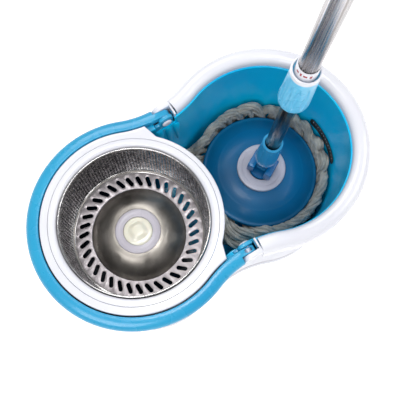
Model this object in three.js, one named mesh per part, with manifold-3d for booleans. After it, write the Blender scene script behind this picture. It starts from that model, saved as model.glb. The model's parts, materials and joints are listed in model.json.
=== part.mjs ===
// Spin mop with its figure-eight bucket: a tub lobe that holds the mop and a basket lobe that wrings it.
// Millimetres, +Z up. The origin is on the floor, half-way between the centres of the two lobes.
// The basket lobe is on the -X side and the mop lobe on the +X side.
import * as THREE from "three";
import { mergeVertices } from "three/addons/utils/BufferGeometryUtils.js";
import Module from "manifold-3d";

const wasm = await Module();
wasm.setup();

// ---- driving dimensions ----
const GAP = 0.3; // clearance between pieces that touch
const RUN = 0.6; // clearance round pieces that turn or slide

const LOBE_SPACING = 200;
const LOBE_RADIUS = 140;
const WAIST_PINCH = 19; // how far the waist is drawn in from a lobe's side
const WAIST_HALF_WIDTH = LOBE_RADIUS - WAIST_PINCH;
const HEIGHT = 240;

const WALL = 2.5;
const FLOOR = 3;
const DRAFT_PER_MM = 0.05; // how far the outer wall leans in for each millimetre down
const LEDGE_DROP = 18; // of the ledge under the bail, below the rim's top
const LEDGE_Z = HEIGHT - LEDGE_DROP;
const LEDGE_WIDTH = 21;
const SKIRT_INSET = 4;
const SKIRT_HEIGHT = 17;

const RIM_WIDTH = 23;
const RIM_SKIRT = 34;
const TUB_INSET = 25;
const TUB_WALL = 2.2;
const TUB_DRAFT_PER_MM = 0.07;
const TUB_FLANGE_INSET = 12;
const GUSSET_REACH = 7;
const GUSSET_HEIGHT = 55;
const GUSSET_PITCH = 16;

const BAIL_WIDTH = 18;
const BAIL_THICKNESS = 12;
const BAIL_TOP = HEIGHT - 2;
const BAIL_END_X = -6;
const PIVOT_X = 6;
const PIVOT_Z = HEIGHT - 15;
const TONGUE_RADIUS = 9.5;
const TONGUE_THICKNESS = 9;
const BRACKET_THICKNESS = 5;
const BRACKET_LENGTH = 20;
const POCKET_BAIL_SIDE = 17.5; // from the pivot to the pocket's end under the bail
const POCKET_RIM_SIDE = 12.5;
const RIM_CLEAR = 2; // from the pocket to the rim's end, so that the bail swings up past it
const PIN_RADIUS = 5;
const PIN_HEAD_RADIUS = 7;
const PIN_HEAD = 2.5;

const DECK_GAP = 1.4; // between the bail and the deck
const DECK_THICKNESS = 3.5;
const DECK_EDGE_DROP = 12;
const DECK_EAR_X = -24;
const DECK_EDGE_SWEEP = 45.4; // degrees each way from +X that the deck's round edge runs
const OPENING_RADIUS = 99.5;
const SPLASH_WIDTH = 10.5;
const SPLASH_RADIUS = OPENING_RADIUS + SPLASH_WIDTH;
const DECK_EDGE_WIDTH = 6.8; // of the deck outside the splash ring, towards the mop lobe
const DECK_EDGE_RADIUS = SPLASH_RADIUS + DECK_EDGE_WIDTH;
const SPLASH_DROP = 12;

const BASKET_CLEARANCE = 1.9; // round the basket in its opening
const BASKET_TAPER = 6.6;
const BASKET_TOP_RADIUS = OPENING_RADIUS - BASKET_CLEARANCE;
const BASKET_FLOOR_RADIUS = BASKET_TOP_RADIUS - BASKET_TAPER;
const BASKET_DEPTH = 86;
const BASKET_TOP_Z = HEIGHT - 1.5;
const SHEET = 1.2;
const SLOTS = 36;
const SLOT_SETBACK = 14.1; // from the floor's edge to the middle of a slot
const SLOT_RADIUS = BASKET_FLOOR_RADIUS - SLOT_SETBACK;
const SLOT_LENGTH = 14.8;
const SLOT_WIDTH = 4.8;
const SLOT_LEAN = 30; // degrees
const DOME_SETBACK = 11.3; // from the middle of a slot to the dome's foot
const DOME_RADIUS = SLOT_RADIUS - DOME_SETBACK;
const DOME_HEIGHT = 20;
const HUB_RING_RADIUS = 31.1;
const HUB_CAP_RADIUS = 20;
const HUB_BOSS = 22;
const CARRIER_LAP = 3.4; // of the carrier under the floor, outside the dome
const CARRIER_RADIUS = DOME_RADIUS + CARRIER_LAP;
const SPINDLE_RADIUS = 6;
const BUSH_WALL = 2.9;
const BUSH_LENGTH = 12;
const PEDESTAL_BASE_RADIUS = 52;
const PEDESTAL_TOP_RADIUS = 16;
const PEDESTAL_SHOULDER_RADIUS = 34;
const SCREW_COUNT = 4;
const SCREW_RADIUS = 2.5;

const STRIP_HEIGHT = 16;
const STRIP_THICKNESS = 1.6;
const STRIP_Z = 130;
const STRIP_SWEEP = 40; // degrees round the mop lobe
const STRIP_MIDDLE = -8; // degrees from +X

const MOP_OFFSET = 5.3; // of the plate's centre from the mop lobe's, along X
const MOP_X = LOBE_SPACING / 2 + MOP_OFFSET;
const MOP_Y = 0.3;
const MOP_Z = 116; // top of the plate
const MOP_LEAN = 3; // degrees
const MOP_LEAN_TOWARDS = -28.6; // degrees from +X
const YOKE_TURN = 29; // degrees from +X to the direction that the pole tilts in
const PLATE_RADIUS = 86;
const PLATE_THICKNESS = 4;
const PLATE_SHEET = 3.2; // of the domed part
const PLATE_DROP = 16; // of the domed plate's edge below its middle
const CENTRE_RING_RADIUS = 36;
const BEVEL_RADIUS = 28; // of the centre ring's inner edge
const STRAND_RING_RADIUS = 62;
const STEM_RADIUS = 17.5;
const STRAND_FILL = 103; // from the plate's top down to the strands' foot
const STRAND_CLEAR = 3; // between the strands and the tub's wall
const STRAND_CREST = 0; // the strands' top beside the plate, above the plate's middle
const PIN_HEIGHT = 18;
const CLEVIS_WIDTH = 37.6;
const CLEVIS_DEPTH = 28;
const CLEVIS_TOP = 27;
const TONGUE_WIDTH = 15;
const FORK_PIN_RADIUS = 3;
const SOCKET_BOTTOM = 62;
const SOCKET_TOP = 117;
const SOCKET_BOTTOM_RADIUS = 16;
const SOCKET_TOP_RADIUS = 13.2;
const LOWER_POLE_RADIUS = 10;
const POLE_WALL = 0.8;
const LOWER_POLE_FOOT = 76;
const LOWER_POLE_LENGTH = 346;
const UPPER_POLE_FOOT = 292;
const UPPER_POLE_LENGTH = 700;
const SLEEVE_FOOT = 266;
const SLEEVE_LENGTH = 73;
const SLEEVE_FOOT_RADIUS = 18.5;
const SLEEVE_TOP_RADIUS = 16.6;
const RING_HEIGHT = 7.5;
const RING_WALL = 2;
const COLLAR_HEIGHT = 11;
const COLLAR_WALL = 1.1;
const ROD_WIDTH = 5;
const ROD_LENGTH = 400;
const ROD_LEAD = 50;
const ROD_TOP = 620;
const GRIP_LENGTH = 150;
const GRIP_WALL = 3.5;
const END_CAP_LENGTH = 34;

// ---- finishes ----
const finish = (colour, roughness, metalness = 0) =>
  new THREE.MeshStandardMaterial({ color: colour, roughness, metalness });
const white = finish(0xeceef2, 0.25);
const skyBlue = finish(0x4dbdeb, 0.35);
const tubBlue = finish(0x1687c6, 0.3);
const plateBlue = finish(0x08598f, 0.35);
const lavender = finish(0xc9c6d8, 0.35);
const steel = finish(0xc4c6ca, 0.2, 1);
const ivory = finish(0xe9e4d2, 0.4);
const wetCotton = finish(0xa9b4b4, 0.9);
const black = finish(0x14171a, 0.4);
const nylon = finish(0xd8d8d4, 0.5);

// ---- solids ----
const RAD = Math.PI / 180;
const LATHE_SEGMENTS = 24;
const WIDE_SEGMENTS = 32; // for the largest rings
const SMALL_SEGMENTS = 12; // for bushes, pins and screws
const v2 = (x, y) => new THREE.Vector2(x, y);
const v3 = (x, y, z) => new THREE.Vector3(x, y, z);

function turnedOut(geometry) {
  const g = geometry.clone();
  g.deleteAttribute("normal");
  g.deleteAttribute("uv");
  const merged = mergeVertices(g, 1e-4);
  const p = merged.attributes.position;
  const index = Array.from(merged.index.array);
  let volume = 0;
  const [a, b, c] = [v3(0, 0, 0), v3(0, 0, 0), v3(0, 0, 0)];
  for (let i = 0; i < index.length; i += 3) {
    a.fromBufferAttribute(p, index[i]);
    b.fromBufferAttribute(p, index[i + 1]);
    c.fromBufferAttribute(p, index[i + 2]);
    volume += a.dot(b.cross(c)) / 6;
  }
  if (volume < 0) {
    for (let i = 0; i < index.length; i += 3) {
      [index[i + 1], index[i + 2]] = [index[i + 2], index[i + 1]];
    }
  }
  merged.setIndex(index);
  return merged;
}

function solid(geometry) {
  const g = turnedOut(geometry);
  return new wasm.Manifold(
    new wasm.Mesh({
      numProp: 3,
      vertProperties: new Float32Array(g.attributes.position.array),
      triVerts: new Uint32Array(g.index.array),
    }),
  );
}

function geometryOf(made) {
  const m = made.getMesh();
  const places = new Float32Array(m.numVert * 3);
  for (let i = 0; i < m.numVert; i++) {
    places.set(m.vertProperties.subarray(i * m.numProp, i * m.numProp + 3), i * 3);
  }
  const g = new THREE.BufferGeometry();
  g.setAttribute("position", new THREE.BufferAttribute(places, 3));
  g.setIndex(Array.from(m.triVerts));
  return g;
}

function piece(name, geometry, material, parent) {
  const mesh = new THREE.Mesh(geometry, material);
  mesh.name = name;
  parent.add(mesh);
  return mesh;
}

// A profile of [radius, height] corners turned round Z.
function turned(profile, segments = LATHE_SEGMENTS) {
  const points = profile.map(([r, z]) => v2(r, z));
  const onAxis = profile[0][0] === 0 && profile[profile.length - 1][0] === 0;
  if (!onAxis) points.push(points[0].clone());
  const g = new THREE.LatheGeometry(points, segments);
  g.rotateX(90 * RAD);
  return turnedOut(g);
}

const tube = (inner, outer, z0, z1, segments) =>
  turned([[inner, z0], [outer, z0], [outer, z1], [inner, z1]], segments);
const rod = (radius, z0, z1, segments = SMALL_SEGMENTS) =>
  turned([[0, z0], [radius, z0], [radius, z1], [0, z1]], segments);

function block(x0, x1, y0, y1, z0, z1) {
  const g = new THREE.BoxGeometry(x1 - x0, y1 - y0, z1 - z0);
  g.translate((x0 + x1) / 2, (y0 + y1) / 2, (z0 + z1) / 2);
  return g;
}

const extruded = (shape, depth, curveSegments) =>
  new THREE.ExtrudeGeometry(shape, { depth, bevelEnabled: false, curveSegments });

function plate(shape, z0, z1, curveSegments = 12) {
  const g = extruded(shape, z1 - z0, curveSegments);
  g.translate(0, 0, z0);
  return g;
}

// A cylinder along Y through the point (x, z).
function crossRod(radius, x, z, y0, y1, segments = SMALL_SEGMENTS) {
  const g = new THREE.CylinderGeometry(radius, radius, Math.abs(y1 - y0), segments);
  g.translate(x, (y0 + y1) / 2, z);
  return g;
}

// ---- the figure-eight outline ----
const HALF_SPACING = LOBE_SPACING / 2;
const FILLET_RADIUS =
  (HALF_SPACING ** 2 + WAIST_HALF_WIDTH ** 2 - LOBE_RADIUS ** 2) / (2 * (LOBE_RADIUS - WAIST_HALF_WIDTH));
const FILLET_Y = WAIST_HALF_WIDTH + FILLET_RADIUS;
const TANGENT = Math.atan2(FILLET_Y, HALF_SPACING); // of the line from a lobe's centre to a fillet's
const LOBE_STEPS = 18;
const FILLET_STEPS = 4;

// A station gives the outline's point at any inset: lobes shrink and fillets grow with it.
function arcStations(cx, cy, radius, sign, from, to, steps) {
  const list = [];
  for (let i = 0; i <= steps; i++) {
    const a = from + ((to - from) * i) / steps;
    list.push((inset) => {
      const r = radius - sign * inset;
      return v2(cx + r * Math.cos(a), cy + r * Math.sin(a));
    });
  }
  return list;
}
const lobe = (side, from, to, steps = LOBE_STEPS) =>
  arcStations(side * HALF_SPACING, 0, LOBE_RADIUS, 1, from, to, steps);
const fillet = (side, from, to, steps = FILLET_STEPS) =>
  arcStations(0, side * FILLET_Y, FILLET_RADIUS, -1, from, to, steps);
const filletAngleAt = (x) => Math.acos(x / FILLET_RADIUS);

const wholeOutline = [
  ...lobe(1, TANGENT - Math.PI, Math.PI - TANGENT),
  ...fillet(1, TANGENT * -1, TANGENT - Math.PI).slice(1),
  ...lobe(-1, TANGENT, 2 * Math.PI - TANGENT).slice(1),
  ...fillet(-1, Math.PI - TANGENT, TANGENT).slice(1, -1),
];

// The stretch of outline round one lobe, between the places where it crosses x on the two fillets.
function roundLobe(side, x) {
  const a = filletAngleAt(x);
  if (side > 0) {
    return [
      ...fillet(-1, a, TANGENT, 3),
      ...lobe(1, TANGENT - Math.PI, Math.PI - TANGENT).slice(1),
      ...fillet(1, -TANGENT, -a, 3).slice(1),
    ];
  }
  return [
    ...fillet(1, -a, TANGENT - Math.PI, 3),
    ...lobe(-1, TANGENT, 2 * Math.PI - TANGENT).slice(1),
    ...fillet(-1, Math.PI - TANGENT, a, 3).slice(1),
  ];
}

// A closed profile of [inset, height] corners carried along the stations.
function carried(profile, stations, closed) {
  const places = [];
  for (const at of stations) {
    for (const [inset, z] of profile) {
      const p = at(inset);
      places.push(p.x, p.y, z);
    }
  }
  const n = profile.length;
  const index = [];
  const spans = closed ? stations.length : stations.length - 1;
  for (let s = 0; s < spans; s++) {
    const a = s * n;
    const b = ((s + 1) % stations.length) * n;
    for (let i = 0; i < n; i++) {
      const j = (i + 1) % n;
      index.push(a + i, b + i, b + j, a + i, b + j, a + j);
    }
  }
  if (!closed) {
    const section = profile.map(([inset, z]) => v2(inset, z));
    const last = (stations.length - 1) * n;
    for (const [i, j, k] of THREE.ShapeUtils.triangulateShape(section, [])) {
      const same = turnOf([section[i], section[j], section[k]]) * turnOf(section) > 0;
      const [q, r] = same ? [j, k] : [k, j];
      index.push(i, q, r, last + i, last + r, last + q);
    }
  }
  const g = new THREE.BufferGeometry();
  g.setAttribute("position", new THREE.Float32BufferAttribute(places, 3));
  g.setIndex(index);
  return turnedOut(g);
}

// The signed area of a polygon: positive where its corners run anticlockwise.
const turnOf = (corners) => THREE.ShapeUtils.area(corners);

const outlineShape = (inset) => new THREE.Shape(wholeOutline.map((at) => at(inset)));

// ---- bucket ----
const POCKET_INNER = WAIST_HALF_WIDTH - TUB_INSET - 1.5;
const POCKET_OUTER = WAIST_HALF_WIDTH - BAIL_WIDTH + TONGUE_THICKNESS + 2;
const POCKET_FLOOR = PIVOT_Z - TONGUE_RADIUS - 5;

function pivotPockets(top) {
  const pocket = (side) =>
    solid(
      block(
        PIVOT_X - POCKET_BAIL_SIDE,
        PIVOT_X + POCKET_RIM_SIDE,
        side > 0 ? POCKET_INNER : -POCKET_OUTER,
        side > 0 ? POCKET_OUTER : -POCKET_INNER,
        POCKET_FLOOR,
        top,
      ),
    );
  return pocket(1).add(pocket(-1));
}

function outerBucket() {
  const lean = (z) => (LEDGE_Z - SKIRT_HEIGHT - z) * DRAFT_PER_MM;
  const wallInset = SKIRT_INSET + 5;
  const foot = wallInset + lean(0);
  const skirtZ = LEDGE_Z - SKIRT_HEIGHT;
  const under = LEDGE_Z - WALL;
  const wall = [
    [foot, 0],
    [wallInset, skirtZ],
    [SKIRT_INSET, skirtZ],
    [SKIRT_INSET, LEDGE_Z],
    [LEDGE_WIDTH, LEDGE_Z],
    [LEDGE_WIDTH, under],
    [SKIRT_INSET + WALL, under],
    [SKIRT_INSET + WALL, skirtZ + WALL],
    [wallInset + WALL, skirtZ + WALL],
    [foot + WALL, 0],
  ];
  const floor = plate(outlineShape(foot + 1), 0, FLOOR);
  const shell = solid(carried(wall, wholeOutline, true)).add(solid(floor));
  return geometryOf(shell.subtract(pivotPockets(LEDGE_Z + 5)));
}

const TUB_TOP = LEDGE_Z + GAP + TUB_WALL;
const TUB_FLOOR_UNDER = FLOOR + GAP;
const TUB_FLOOR_Z = TUB_FLOOR_UNDER + TUB_WALL;
const tubInset = (z) => TUB_INSET + (TUB_TOP - z) * TUB_DRAFT_PER_MM;

function gusset(x, side) {
  const top = POCKET_FLOOR - 2;
  const wallY = (z) => WAIST_HALF_WIDTH - tubInset(z) + TUB_WALL - 0.2;
  const shape = new THREE.Shape([
    v2(wallY(top), top),
    v2(wallY(top) - GUSSET_REACH, top),
    v2(wallY(top - GUSSET_HEIGHT), top - GUSSET_HEIGHT),
  ]);
  const g = extruded(shape, 2.4, 1);
  g.translate(0, 0, -1.2);
  g.rotateX(90 * RAD);
  g.rotateZ(90 * RAD);
  if (side < 0) g.rotateZ(Math.PI);
  g.translate(x, 0, 0);
  return solid(g);
}

function innerTub() {
  const wall = [
    [TUB_FLANGE_INSET, TUB_TOP - TUB_WALL],
    [TUB_FLANGE_INSET, TUB_TOP],
    [TUB_INSET, TUB_TOP],
    [tubInset(TUB_FLOOR_UNDER), TUB_FLOOR_UNDER],
    [tubInset(TUB_FLOOR_UNDER) - TUB_WALL, TUB_FLOOR_UNDER],
    [TUB_INSET - TUB_WALL, TUB_TOP - TUB_WALL],
  ];
  const floor = plate(outlineShape(tubInset(TUB_FLOOR_UNDER) - 1), TUB_FLOOR_UNDER, TUB_FLOOR_Z);
  let tub = solid(carried(wall, wholeOutline, true)).add(solid(floor));
  tub = tub.subtract(pivotPockets(TUB_TOP + 5));
  for (const side of [-1, 1]) {
    for (const step of [-1, 0, 1]) tub = tub.add(gusset(PIVOT_X + step * GUSSET_PITCH, side));
  }
  return geometryOf(tub);
}

function tubRim() {
  const inner = TUB_TOP + GAP;
  const crown = 5;
  const profile = [
    [0, HEIGHT - RIM_SKIRT],
    [0, HEIGHT - 9],
    [2, HEIGHT - 4],
    [crown + 1, HEIGHT - 1],
    [crown + 6, HEIGHT],
    [RIM_WIDTH - crown, HEIGHT - 0.8],
    [RIM_WIDTH - 1.6, HEIGHT - 3.5],
    [RIM_WIDTH, HEIGHT - 8],
    [RIM_WIDTH, inner],
    [RIM_WIDTH - WALL, inner],
    [RIM_WIDTH - WALL, HEIGHT - 6],
    [WALL, HEIGHT - 6],
    [WALL, HEIGHT - RIM_SKIRT],
  ];
  const start = PIVOT_X + POCKET_RIM_SIDE + RIM_CLEAR;
  return carried(profile, roundLobe(1, start), false);
}

// ---- basket lobe deck ----
const DECK_INSET = BAIL_WIDTH + DECK_GAP;
const BASKET_X = -HALF_SPACING;

function basketDeck() {
  const along = roundLobe(-1, DECK_EAR_X);
  const edge = along.map((at) => at(DECK_INSET));
  const meet = DECK_EDGE_SWEEP * RAD;
  const shape = new THREE.Shape(edge);
  shape.lineTo(BASKET_X + DECK_EDGE_RADIUS * Math.cos(meet), -DECK_EDGE_RADIUS * Math.sin(meet));
  shape.absarc(BASKET_X, 0, DECK_EDGE_RADIUS, -meet, meet, false);
  shape.lineTo(edge[0].x, edge[0].y);
  const hole = new THREE.Path();
  hole.absarc(BASKET_X, 0, SPLASH_RADIUS + GAP, 0, 2 * Math.PI, true);
  shape.holes.push(hole);
  const top = plate(shape, HEIGHT - DECK_THICKNESS, HEIGHT, 24);

  const skirt = [
    [DECK_INSET, TUB_TOP + GAP],
    [DECK_INSET, HEIGHT - 1],
    [DECK_INSET + WALL, HEIGHT - 1],
    [DECK_INSET + WALL, TUB_TOP + GAP],
  ];
  const lip = new THREE.Shape();
  lip.absarc(BASKET_X, 0, DECK_EDGE_RADIUS, -meet, meet, false);
  lip.absarc(BASKET_X, 0, DECK_EDGE_RADIUS - WALL, meet, -meet, true);
  const deck = solid(top)
    .add(solid(carried(skirt, along, false)))
    .add(solid(plate(lip, HEIGHT - DECK_EDGE_DROP, HEIGHT - 1, 24)));
  return geometryOf(deck);
}

function splashRing() {
  const top = HEIGHT;
  const lip = OPENING_RADIUS + 1.2;
  return turned([
    [SPLASH_RADIUS, top - DECK_THICKNESS],
    [SPLASH_RADIUS, top],
    [lip + 4, top],
    [lip + 0.8, top - 1],
    [OPENING_RADIUS, top - 4],
    [OPENING_RADIUS, top - SPLASH_DROP],
    [OPENING_RADIUS + WALL, top - SPLASH_DROP],
    [OPENING_RADIUS + WALL, top - DECK_THICKNESS],
  ], WIDE_SEGMENTS);
}

// ---- bail ----
function handleBail() {
  const [z0, z1] = [BAIL_TOP - BAIL_THICKNESS, BAIL_TOP];
  const profile = [
    [0.5, z0],
    [0, z0 + 4],
    [0.8, z1 - 4],
    [3, z1 - 1.2],
    [6, z1],
    [BAIL_WIDTH - 1.5, z1],
    [BAIL_WIDTH, z1 - 1.5],
    [BAIL_WIDTH, z0],
  ];
  const band = solid(carried(profile, roundLobe(-1, BAIL_END_X), false));
  const inner = WAIST_HALF_WIDTH - BAIL_WIDTH + GAP;
  let bail = band;
  for (const side of [-1, 1]) {
    const shape = new THREE.Shape();
    shape.moveTo(BAIL_END_X - 6, z0);
    shape.lineTo(PIVOT_X, PIVOT_Z - TONGUE_RADIUS);
    shape.absarc(PIVOT_X, PIVOT_Z, TONGUE_RADIUS, -Math.PI / 2, Math.PI / 2, false);
    shape.lineTo(BAIL_END_X - 6, z1 - 2);
    const hole = new THREE.Path();
    hole.absarc(PIVOT_X, PIVOT_Z, PIN_RADIUS + GAP, 0, 2 * Math.PI, true);
    shape.holes.push(hole);
    const g = extruded(shape, TONGUE_THICKNESS, 12);
    g.rotateX(90 * RAD);
    g.translate(0, side > 0 ? inner + TONGUE_THICKNESS : -inner, 0);
    bail = bail.add(solid(g));
  }
  return geometryOf(bail);
}

const BRACKET_OUTER = WAIST_HALF_WIDTH - BAIL_WIDTH - RUN;

function pivotBracket(side) {
  const [x0, x1] = [PIVOT_X - BRACKET_LENGTH / 2, PIVOT_X + BRACKET_LENGTH / 2];
  const shape = new THREE.Shape();
  const z0 = POCKET_FLOOR + GAP;
  shape.moveTo(x0, z0);
  shape.lineTo(x1, z0);
  shape.lineTo(x1, PIVOT_Z + 3);
  shape.absarc(x1 - 8, PIVOT_Z + 5, 8, 0, Math.PI / 2, false);
  shape.absarc(x0 + 8, PIVOT_Z + 5, 8, Math.PI / 2, Math.PI, false);
  shape.lineTo(x0, PIVOT_Z + 3);
  const hole = new THREE.Path();
  hole.absarc(PIVOT_X, PIVOT_Z, PIN_RADIUS + GAP, 0, 2 * Math.PI, true);
  shape.holes.push(hole);
  const g = extruded(shape, BRACKET_THICKNESS, 8);
  g.rotateX(90 * RAD);
  g.translate(0, side > 0 ? BRACKET_OUTER : BRACKET_THICKNESS - BRACKET_OUTER, 0);
  return g;
}

function handlePin(side) {
  const inner = BRACKET_OUTER - BRACKET_THICKNESS - GAP;
  const outer = WAIST_HALF_WIDTH - BAIL_WIDTH + TONGUE_THICKNESS + 1;
  const shank = solid(crossRod(PIN_RADIUS, PIVOT_X, PIVOT_Z, side * (inner - 1), side * outer));
  const head = solid(crossRod(PIN_HEAD_RADIUS, PIVOT_X, PIVOT_Z, side * (inner - PIN_HEAD), side * inner));
  return geometryOf(shank.add(head));
}

// ---- basket ----
const BASKET_FLOOR_Z = BASKET_TOP_Z - BASKET_DEPTH;

function basketWall() {
  const lip = 1.6;
  return turned([
    [BASKET_FLOOR_RADIUS, BASKET_FLOOR_Z - 1],
    [BASKET_FLOOR_RADIUS + SHEET, BASKET_FLOOR_Z - 1],
    [BASKET_TOP_RADIUS - 0.2, BASKET_TOP_Z - lip * 2],
    [BASKET_TOP_RADIUS + 0.9, BASKET_TOP_Z - lip],
    [BASKET_TOP_RADIUS + 0.5, BASKET_TOP_Z],
    [BASKET_TOP_RADIUS - 0.8, BASKET_TOP_Z],
    [BASKET_TOP_RADIUS - SHEET - 0.2, BASKET_TOP_Z - lip * 2],
  ], WIDE_SEGMENTS);
}

function slot(angle) {
  const half = (SLOT_LENGTH - SLOT_WIDTH) / 2;
  const lean = angle + SLOT_LEAN * RAD;
  const centre = v2(SLOT_RADIUS, 0).rotateAround(v2(0, 0), angle);
  const roundSteps = 2;
  const corners = [];
  for (const sign of [1, -1]) {
    const end = centre.clone().add(v2(sign * half, 0).rotateAround(v2(0, 0), lean));
    for (let i = 0; i <= roundSteps; i++) {
      const a = lean + Math.PI * (i / roundSteps - sign / 2);
      corners.push(v2(end.x + (SLOT_WIDTH / 2) * Math.cos(a), end.y + (SLOT_WIDTH / 2) * Math.sin(a)));
    }
  }
  return new THREE.Path(corners);
}

function basketFloor() {
  const shape = new THREE.Shape();
  shape.absarc(0, 0, BASKET_FLOOR_RADIUS - GAP, 0, 2 * Math.PI, false);
  const hole = new THREE.Path();
  hole.absarc(0, 0, DOME_RADIUS + GAP, 0, 2 * Math.PI, true);
  shape.holes.push(hole);
  for (let i = 0; i < SLOTS; i++) shape.holes.push(slot((2 * Math.PI * i) / SLOTS));
  return plate(shape, BASKET_FLOOR_Z - SHEET, BASKET_FLOOR_Z, WIDE_SEGMENTS / 2);
}

function basketDome() {
  const foot = BASKET_FLOOR_Z - SHEET;
  const top = BASKET_FLOOR_Z + DOME_HEIGHT;
  const span = DOME_RADIUS - HUB_RING_RADIUS - GAP;
  const steps = 5;
  const outside = [];
  for (let i = 0; i <= steps; i++) {
    const u = i / steps;
    outside.push([DOME_RADIUS - span * u, foot + (top - foot) * Math.sin((u * Math.PI) / 2)]);
  }
  const inside = outside.map(([r, z], i) => [i < steps ? r - SHEET : r, Math.max(z - SHEET, foot)]).reverse();
  return turned([...outside, ...inside], WIDE_SEGMENTS);
}

const HUB_TOP = BASKET_FLOOR_Z + DOME_HEIGHT + 0.6;
const CARRIER_TOP = BASKET_FLOOR_Z - SHEET - GAP;
const CARRIER = 4;
const CORE_TOP = CARRIER_TOP + 13;
const NUT = 5;

function hubRing() {
  const drop = 5;
  return tube(HUB_CAP_RADIUS + GAP, HUB_RING_RADIUS, HUB_TOP - drop, HUB_TOP);
}

function hubCap() {
  const hollow = SPINDLE_RADIUS + 5;
  const body = turned([
    [0, HUB_TOP + 0.8],
    [HUB_CAP_RADIUS - 1.5, HUB_TOP + 0.8],
    [HUB_CAP_RADIUS, HUB_TOP - 0.6],
    [HUB_CAP_RADIUS, CORE_TOP + GAP],
    [hollow, CORE_TOP + GAP],
    [hollow, HUB_TOP - 1.2],
    [0, HUB_TOP - 1.2],
  ]);
  const half = HUB_BOSS / 2;
  const boss = block(-half, half, -half, half, HUB_TOP, HUB_TOP + 4);
  return geometryOf(solid(body).add(solid(boss)));
}

const hubCore = () => tube(SPINDLE_RADIUS + GAP, HUB_CAP_RADIUS + 4, CARRIER_TOP - GAP / 2, CORE_TOP);
const hubCarrier = () =>
  tube(HUB_CAP_RADIUS + 4 + GAP, CARRIER_RADIUS, CARRIER_TOP - CARRIER, CARRIER_TOP);

// ---- pedestal and spindle ----
const PEDESTAL_FOOT = TUB_FLOOR_Z + GAP;
const PEDESTAL_FLANGE = 4;
const PEDESTAL_TOP = CARRIER_TOP - 10;
const BORE = SPINDLE_RADIUS + GAP + BUSH_WALL + GAP;
const SCREW_CIRCLE = (PEDESTAL_BASE_RADIUS + PEDESTAL_SHOULDER_RADIUS + 2) / 2;

function pedestal() {
  const body = turned([
    [0, PEDESTAL_FOOT],
    [PEDESTAL_BASE_RADIUS, PEDESTAL_FOOT],
    [PEDESTAL_BASE_RADIUS, PEDESTAL_FOOT + PEDESTAL_FLANGE],
    [PEDESTAL_SHOULDER_RADIUS, PEDESTAL_FOOT + PEDESTAL_FLANGE],
    [PEDESTAL_SHOULDER_RADIUS - 6, PEDESTAL_FOOT + 14],
    [PEDESTAL_TOP_RADIUS, PEDESTAL_TOP],
    [BORE, PEDESTAL_TOP],
    [BORE, PEDESTAL_FOOT + 10],
    [0, PEDESTAL_FOOT + 10],
  ]);
  let made = solid(body);
  for (let i = 0; i < SCREW_COUNT; i++) {
    const drill = rod(SCREW_RADIUS + GAP, PEDESTAL_FOOT - 1, PEDESTAL_FOOT + PEDESTAL_FLANGE + 1);
    drill.translate(...screwPlace(i), 0);
    made = made.subtract(solid(drill));
  }
  return geometryOf(made);
}

function screwPlace(i) {
  const a = ((i + 0.5) * 2 * Math.PI) / SCREW_COUNT;
  return [SCREW_CIRCLE * Math.cos(a), SCREW_CIRCLE * Math.sin(a)];
}

function screw() {
  const seat = PEDESTAL_FOOT + PEDESTAL_FLANGE + GAP;
  return turned([
    [0, PEDESTAL_FOOT],
    [SCREW_RADIUS, PEDESTAL_FOOT],
    [SCREW_RADIUS, seat],
    [SCREW_RADIUS * 2, seat],
    [SCREW_RADIUS * 1.7, seat + 2.4],
    [0, seat + 3],
  ], SMALL_SEGMENTS);
}

const bush = (z0) => tube(SPINDLE_RADIUS + GAP, BORE - GAP, z0, z0 + BUSH_LENGTH, SMALL_SEGMENTS);
const WASHER_Z = PEDESTAL_TOP + GAP;
const washer = () =>
  tube(SPINDLE_RADIUS + GAP, PEDESTAL_TOP_RADIUS - 2, WASHER_Z, WASHER_Z + 2.4, SMALL_SEGMENTS);
const spindle = () => rod(SPINDLE_RADIUS, PEDESTAL_FOOT + 10 + GAP, CORE_TOP + NUT + 0.5);
function spindleNut() {
  const hexagon = rod(SPINDLE_RADIUS + 4, CORE_TOP + GAP, CORE_TOP + NUT, 6);
  const bore = rod(SPINDLE_RADIUS + GAP, CORE_TOP, CORE_TOP + NUT + 1);
  return geometryOf(solid(hexagon).subtract(solid(bore)));
}

// ---- water level strip ----
function levelStrip() {
  const wall = LOBE_RADIUS - tubInset(STRIP_Z);
  const radius = wall * Math.cos((Math.PI - TANGENT) / LOBE_STEPS) - GAP; // clear of the wall's flats
  const lean = (z) => (z - STRIP_Z) * TUB_DRAFT_PER_MM;
  const half = STRIP_HEIGHT / 2;
  const steps = 10;
  const places = [];
  const mid = STRIP_MIDDLE * RAD;
  for (let i = 0; i <= steps; i++) {
    const u = (2 * i) / steps - 1;
    const a = mid + (u * STRIP_SWEEP * RAD) / 2;
    const h = half * Math.sqrt(Math.max(0.16, 1 - Math.abs(u) ** 8));
    for (const [r, z] of [[0, -h], [0, h], [-STRIP_THICKNESS, h], [-STRIP_THICKNESS, -h]]) {
      const out = radius + r + lean(STRIP_Z + z);
      places.push(v3(HALF_SPACING + out * Math.cos(a), out * Math.sin(a), STRIP_Z + z));
    }
  }
  const index = [0, 1, 2, 0, 2, 3];
  for (let s = 0; s < steps; s++) {
    for (let i = 0; i < 4; i++) {
      const [a, b] = [s * 4 + i, s * 4 + ((i + 1) % 4)];
      index.push(a, a + 4, b + 4, a, b + 4, b);
    }
  }
  const e = steps * 4;
  index.push(e, e + 2, e + 1, e, e + 3, e + 2);
  const g = new THREE.BufferGeometry().setFromPoints(places);
  g.setIndex(index);
  return turnedOut(g);
}

// ---- mop head, in the mop's own frame: the origin is on the plate's top, Z along the pole ----
const PLATE_FLAT = CENTRE_RING_RADIUS + 3;

// How high the plate's domed face stands at a radius.
const plateFace = (r) =>
  PLATE_SHEET - PLATE_THICKNESS - PLATE_DROP * ((r - PLATE_FLAT) / (PLATE_RADIUS - PLATE_FLAT)) ** 2;

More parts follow.
